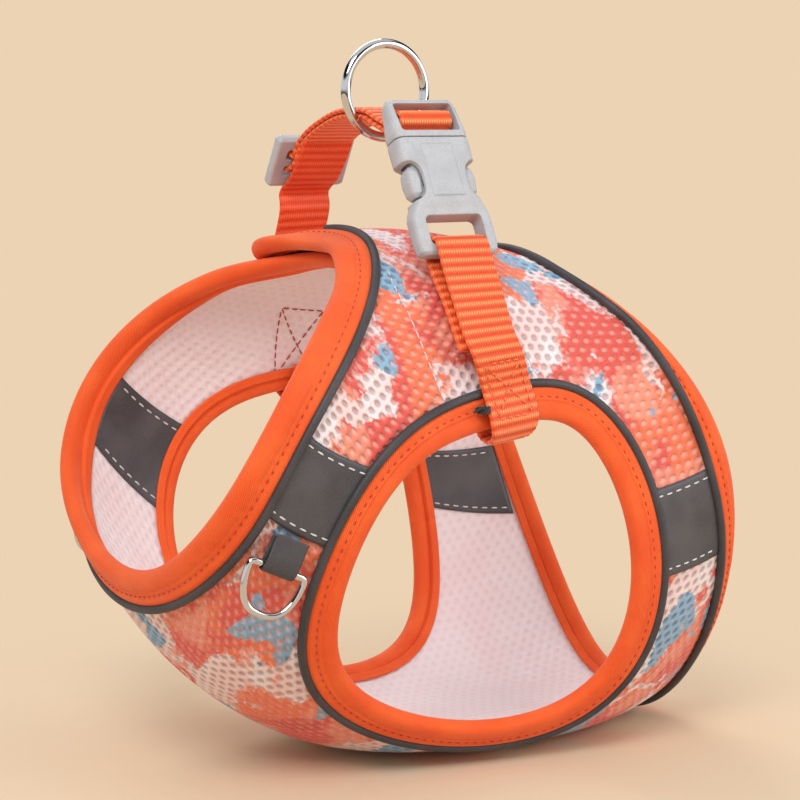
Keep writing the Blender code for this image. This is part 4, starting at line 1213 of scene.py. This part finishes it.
def make_top_strap():
    """The top strap: one closed band through the O-ring, round the plug's bar and the slider's."""
    crossbar = buckle_point(0.0, 0.0, CROSSBAR)
    spine = catmull([
        crossbar, buckle_point(0.0, 0.0050, CROSSBAR), design(ARCH_X, -0.0110, 0.1072),
        design(ARCH_X, -0.0030, 0.1096), design(ARCH_X, 0.0120, 0.1092), design(ARCH_X, 0.0270, 0.1045),
        slider_point(-0.0050, 0.0090), slider_point(-0.0040, 0.0025), slider_point(0.0, 0.0),
    ], 6)
    ahead = headings(spine, closed=False)
    out = np.stack((0 * ahead[:, 0], -ahead[:, 2], ahead[:, 1]), -1)
    plug_turn, slider_turn = 0.0027, 0.0031
    i = np.arange(len(spine))
    half = (WEB_LAYERS + (plug_turn - WEB_LAYERS) * (1 - smooth_step(i / 7))
            + (slider_turn - WEB_LAYERS) * (1 - smooth_step((i[-1] - i) / 7)))[:, None]
    left, right = spine + out * half, spine - out * half
    caps = []
    for centre, edge, radius in ((spine[-1], left[-1], slider_turn), (spine[0], right[0], plug_turn)):
        first = unit(edge - centre)
        across_turn = np.array((0.0, first[2], -first[1]))
        a = np.linspace(0.0, math.pi, 14)[1:-1, None]
        caps.append(centre + radius * (first * np.cos(a) + across_turn * np.sin(a)))
    loop = np.vstack((left, caps[0], right[::-1], caps[1]))
    obj, _ = strap("top_strap_webbing", loop, (1.0, 0.0, 0.0), WEB_WIDTH, WEB_THICK, MATS["webbing"],
                   0.00030, closed=True)
    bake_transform(obj)
    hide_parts("top_strap")


# Buckle and slider, in their own frames: x across, y through, z along


def rounded_ring(half_x, half_y, z, corner, steps=7):
    """Points round a rectangle with round corners."""
    ring = []
    for sx, sy, start in ((1, 1, 0), (-1, 1, 1), (-1, -1, 2), (1, -1, 3)):
        for k in range(steps):
            a = math.pi / 2 * (start + k / (steps - 1))
            ring.append((sx * (half_x - corner) + corner * math.cos(a),
                         sy * (half_y - corner) + corner * math.sin(a), z))
    return ring


def block(name, profile):
    """A solid through rounded rings: profile rows are (z, half x, half y, corner)."""
    rings = [rounded_ring(hx, hy, z, min(corner, hx - 1e-5, hy - 1e-5)) for z, hx, hy, corner in profile]
    return swept(name, np.array(rings), False, MATS["plastic"])


def rounded_box(name, x, z, corner=0.0012, deep=0.02):
    """A cutter through y, with rounded corners seen from the front."""
    cx, cz = (x[0] + x[1]) / 2, (z[0] + z[1]) / 2
    outline = rounded_ring((x[1] - x[0]) / 2, (z[1] - z[0]) / 2, 0.0, corner)
    ring = [(px + cx, pz + cz) for px, pz, _ in outline]
    rings = np.array([[(px, y, pz) for px, pz in ring[::-1]] for y in (-deep, deep)])
    return swept(name, rings, False, MATS["plastic"])


def moulded(obj, cutters, additions=(), voxel=0.00023):
    """The solid after its cuts and additions, remeshed so that its edges are softly rounded."""
    for tool, operation in [(c, "DIFFERENCE") for c in cutters] + [(a, "UNION") for a in additions]:
        boolean = obj.modifiers.new("cut", "BOOLEAN")
        boolean.operation = operation
        boolean.solver = "EXACT"
        boolean.object = tool
    remesh = obj.modifiers.new("remesh", "REMESH")
    remesh.mode = "VOXEL"
    remesh.voxel_size = voxel
    soft = obj.modifiers.new("soft", "SMOOTH")
    soft.factor = 0.5
    soft.iterations = 3
    bpy.context.view_layer.update()
    evaluated = obj.evaluated_get(bpy.context.evaluated_depsgraph_get())
    mesh = bpy.data.meshes.new_from_object(evaluated)
    obj.modifiers.clear()
    obj.data = mesh
    mesh.polygons.foreach_set("use_smooth", np.full(len(mesh.polygons), True))
    mesh.materials.clear()
    mesh.materials.append(MATS["plastic"])
    for tool in [*cutters, *additions]:
        bpy.data.objects.remove(tool)
    return obj


def engrave(obj, x, z):
    """Sinks a fine rectangular line into the face towards -y."""
    width, depth = 0.00026, 0.00040
    mesh = obj.data
    pts = np.empty(3 * len(mesh.vertices), np.float32)
    mesh.vertices.foreach_get("co", pts)
    pts = pts.reshape(-1, 3)
    dx = np.abs(pts[:, 0] - (x[0] + x[1]) / 2) - (x[1] - x[0]) / 2
    dz = np.abs(pts[:, 2] - (z[0] + z[1]) / 2) - (z[1] - z[0]) / 2
    line = np.maximum(dx, dz)
    sink = np.exp(-((line / width) ** 2)) * (pts[:, 1] < -0.002)
    pts[:, 1] += depth * sink
    mesh.vertices.foreach_set("co", pts.ravel())


def leaning(obj, origin, lean):
    """Puts a piece in its own leaning frame."""
    obj.location = tuple(origin)
    obj.rotation_euler = (-lean, 0.0, 0.0)
    return obj


def make_socket():
    """The buckle's female half, with its slot, side openings and engraved rectangle."""
    socket = block("socket_shell", (
        (-0.0002, 0.0128, 0.0016, 0.0014), (0.0008, 0.0140, 0.0024, 0.0016), (0.0040, 0.0143, 0.0028, 0.0018),
        (0.0118, 0.0143, 0.0030, 0.0020), (0.0142, 0.0134, 0.0034, 0.0022), (0.0162, 0.0121, 0.0041, 0.0026),
        (0.0190, 0.0120, 0.0045, 0.0030), (0.0240, 0.0127, 0.0046, 0.0032), (0.0300, 0.0133, 0.0046, 0.0032),
        (0.0360, 0.0134, 0.0045, 0.0030), (0.0378, 0.0132, 0.0043, 0.0028),
    ))
    cutters = [
        rounded_box("cut_slot", (-0.0102, 0.0102), (0.0030, 0.0122), 0.0016),
        block("cut_cavity", ((0.0168, 0.0106, 0.0029, 0.0010), (0.0500, 0.0106, 0.0029, 0.0010))),
        rounded_box("cut_left", (-0.0200, -0.0078), (0.0172, 0.0300), 0.0045),
        rounded_box("cut_right", (0.0078, 0.0200), (0.0172, 0.0300), 0.0045),
    ]
    moulded(socket, cutters)
    engrave(socket, (-0.0056, 0.0056), (0.0180, 0.0352))
    leaning(socket, design(*BUCKLE_BASE), BUCKLE_LEAN)
    add(socket, "buckle_socket")


def make_plug():
    """The buckle's male half: frame with crossbar and tongue, and two prongs with buttons."""
    origin = design(*BUCKLE_BASE)
    plug = block("plug_shell", (
        (0.0381, 0.0132, 0.0043, 0.0028), (0.0394, 0.0134, 0.0045, 0.0030), (0.0420, 0.0132, 0.0041, 0.0028),
        (0.0470, 0.0127, 0.0032, 0.0022), (0.0500, 0.0123, 0.0026, 0.0018), (0.0517, 0.0113, 0.0017, 0.0012),
    ))
    cutters = [rounded_box("cut_window", (-0.0106, 0.0106), (0.0401, 0.0501), 0.0010)]
    ring = np.array([[(x, CROSSBAR_RADIUS * math.cos(a), CROSSBAR + CROSSBAR_RADIUS * math.sin(a))
                      for a in np.arange(12) * ROUND / 12] for x in (-0.0115, 0.0115)])
    tongue = block("tongue", ((0.0200, 0.0018, 0.0020, 0.0008), (0.0390, 0.0024, 0.0022, 0.0008)))
    moulded(plug, cutters, [swept("crossbar", ring, False, MATS["plastic"]), tongue])
    leaning(plug, origin, BUCKLE_LEAN)
    add(plug, "buckle_plug", "plug")
    for sign, label in ((-1, "front"), (1, "rear")):
        outline = catmull([(sign * x, 0.0, z) for x, z in PRONG_OUTLINE], 5)
        y = np.array((-0.0024, -0.0022, 0.0022, 0.0024))
        grow = np.array((0.86, 1.0, 1.0, 0.86))
        middle = outline.mean(0)
        rings = np.array([middle + (outline[:-1] - middle) * g + np.array((0.0, d, 0.0))
                          for d, g in zip(y, grow)])
        prong = swept(f"{label}_prong_arm", rings, False, MATS["plastic"])
        button = block(f"{label}_button", ((0.0186, 0.0010, 0.0018, 0.0006), (0.0200, 0.0019, 0.0030, 0.0016),
                                           (0.0236, 0.0024, 0.0034, 0.0020), (0.0270, 0.0021, 0.0030, 0.0016),
                                           (0.0288, 0.0009, 0.0018, 0.0006)))
        button.location = (sign * 0.0099, 0.0, 0.0)
        leaning(moulded(prong, [], [button], 0.00022), origin, BUCKLE_LEAN)
        add(prong, f"{label}_prong", f"{label}_prong")


def make_slider():
    """The tri-glide: a flat frame with two slots."""
    slider = block("slider_frame", (
        (-0.0092, 0.0134, 0.0010, 0.0008), (-0.0080, 0.0146, 0.0019, 0.0012),
        (0.0080, 0.0146, 0.0019, 0.0012), (0.0092, 0.0134, 0.0010, 0.0008),
    ))
    cutters = [rounded_box("cut_low", (-0.0102, 0.0102), (-0.0048, -0.0013), 0.0009),
               rounded_box("cut_high", (-0.0102, 0.0102), (0.0013, 0.0048), 0.0009)]
    leaning(moulded(slider, cutters), design(*SLIDER_CENTRE), -SLIDER_LEAN)
    add(slider, "slider", "slider")


def make_o_ring():
    """The leash ring on the top strap."""
    centre = design(*O_RING_CENTRE)
    a = np.arange(96) * ROUND / 96
    points = centre + O_RING_RADIUS * np.stack((np.cos(a), 0 * a, np.sin(a)), -1)
    wire = tube("o_ring_wire", points, O_WIRE_RADIUS, True, MATS["chrome"], 20, (0.0, 1.0, 0.0))
    add(wire, "o_ring", "o_ring")


def make_knot():
    """The black lock knot at the near strap's front corner."""
    foot, across = strap_foot("left")
    at = foot[8] - across * (WEB_WIDTH / 2 + 0.0012)
    t = np.linspace(0.0, ROUND, 120, endpoint=False)
    local = np.stack((np.sin(t) + 2 * np.sin(2 * t), np.cos(t) - 2 * np.cos(2 * t), -np.sin(3 * t)), -1)
    points = at + local @ np.array(((0.00085, 0, 0), (0, 0.00055, 0), (0, 0, 0.00075)))
    add(tube("lock_knot", points, 0.00055, True, MATS["black_thread"], 8, (0.3, 0.2, 0.9)))
    tail_way = ((0.0, 0.0, 0.0), (-0.0022, -0.0006, 0.0004), (-0.0040, -0.0002, -0.0006))
    tail = catmull(at + np.array(tail_way), 12)
    add(tube("lock_knot_tail", tail, 0.0003, False, MATS["black_thread"], 8, (0.3, 0.2, 0.9)))


# Camera, light and floor


def make_camera(scene):
    """The camera at the photograph's angle."""
    camera = bpy.data.objects.new("camera", bpy.data.cameras.new("camera"))
    scene.collection.objects.link(camera)
    flat = math.cos(VIEW_ELEVATION)
    away = np.array((math.sin(VIEW_AZIMUTH) * flat, -math.cos(VIEW_AZIMUTH) * flat, math.sin(VIEW_ELEVATION)))
    camera.location = tuple(np.array(VIEW_TARGET) + VIEW_DISTANCE * away)
    camera.rotation_euler = (math.pi / 2 - VIEW_ELEVATION, 0.0, VIEW_AZIMUTH)
    camera.data.lens = LENS_MM
    camera.data.sensor_width = SENSOR_MM
    camera.data.clip_start = 0.01
    scene.camera = camera


def make_world(scene):
    """Beige to the camera, white to diffuse rays, and bright and dark bands for the chrome to reflect."""
    scene.world = bpy.data.worlds.new("studio")
    scene.world.use_nodes = True
    world = Nodes(scene.world.node_tree)
    height = world.node("ShaderNodeSeparateXYZ", {
        "Vector": world.node("ShaderNodeTexCoord", output="Generated"),
    }, "Z")
    banded = world.node("ShaderNodeValToRGB", {"Fac": world.math("MULTIPLY_ADD", height, 0.5, 0.5)})
    stops = banded.node.color_ramp.elements
    for at, value in ((0.0, 0.9), (0.28, 1.0), (0.33, 0.02), (0.47, 0.02), (0.52, 1.1), (0.64, 1.1),
                      (0.69, 0.02), (0.84, 0.02), (0.90, 1.0)):
        stop = stops.new(at) if at else stops[0]
        stop.color = (value, value, value * 1.01, 1.0)
    bands = world.node("ShaderNodeBackground", {"Color": banded, "Strength": 0.75})
    soft = world.node("ShaderNodeBackground", {"Color": (1.0, 1.0, 1.0), "Strength": 0.57})
    shown = world.node("ShaderNodeBackground", {"Color": BEIGE})
    rays = world.node("ShaderNodeLightPath", output="Is Camera Ray").node
    lit = world.node("ShaderNodeMixShader", {0: rays.outputs["Is Diffuse Ray"], 1: bands, 2: soft})
    seen = world.node("ShaderNodeMixShader", {0: rays.outputs["Is Camera Ray"], 1: lit, 2: shown})
    world.put(world.tree.nodes["World Output"].inputs["Surface"], seen)


def make_lamps(scene):
    """Three soft lamps that look at the middle of the vest."""
    for name, place_at, size, power in (
        ("key", (-0.75, -0.75, 1.10), 0.60, 11.5), ("fill", (0.85, -0.95, 0.55), 0.80, 6.0),
        ("back", (0.25, 0.95, 0.90), 0.70, 5.0),
    ):
        lamp = bpy.data.objects.new(name, bpy.data.lights.new(name, "AREA"))
        lamp.data.size = size
        lamp.data.energy = power
        lamp.location = place_at
        aim = np.array((0.0, 0.0, 0.1)) - np.array(place_at)
        lamp.rotation_euler = (math.acos(-aim[2] / np.linalg.norm(aim)), 0.0,
                               math.atan2(aim[0], -aim[1]) + math.pi)
        scene.collection.objects.link(lamp)


def make_floor():
    """A round floor that fades into the background's beige away from the vest."""
    sh = Shader("pale_floor", FLOOR_TINT, 1.0, Specular_IOR_Level=0.0)
    glow = sh.node("ShaderNodeEmission", {"Color": BEIGE})
    far = sh.vector("LENGTH", sh.object_point(), output=1)
    seen = sh.node("ShaderNodeMixShader", {0: sh.spread(far, *FLOOR_FADE), 1: sh.shader.outputs[0], 2: glow})
    sh.put(sh.tree.nodes["Material Output"].inputs["Surface"], seen)
    k = np.arange(96)
    turn = k * ROUND / 96
    rim = FLOOR_RADIUS * np.stack((np.cos(turn), np.sin(turn), 0 * turn), -1)
    verts = np.vstack(([(0.0, 0.0, 0.0)], rim))
    mesh_piece("floor", verts, np.stack((0 * k, k + 1, (k + 1) % 96 + 1), -1), sh.material)


def make_stage():
    """Camera, background, lamps and floor."""
    scene = bpy.context.scene
    scene.view_settings.view_transform = "Standard"
    make_camera(scene)
    make_world(scene)
    make_lamps(scene)
    make_floor()


make_cloth()
make_edges()
make_strips()
make_flap_lines()
make_tabs()
make_near_strap()
make_far_strap()
make_top_strap()
make_socket()
make_plug()
make_slider()
make_o_ring()
make_knot()
make_stage()
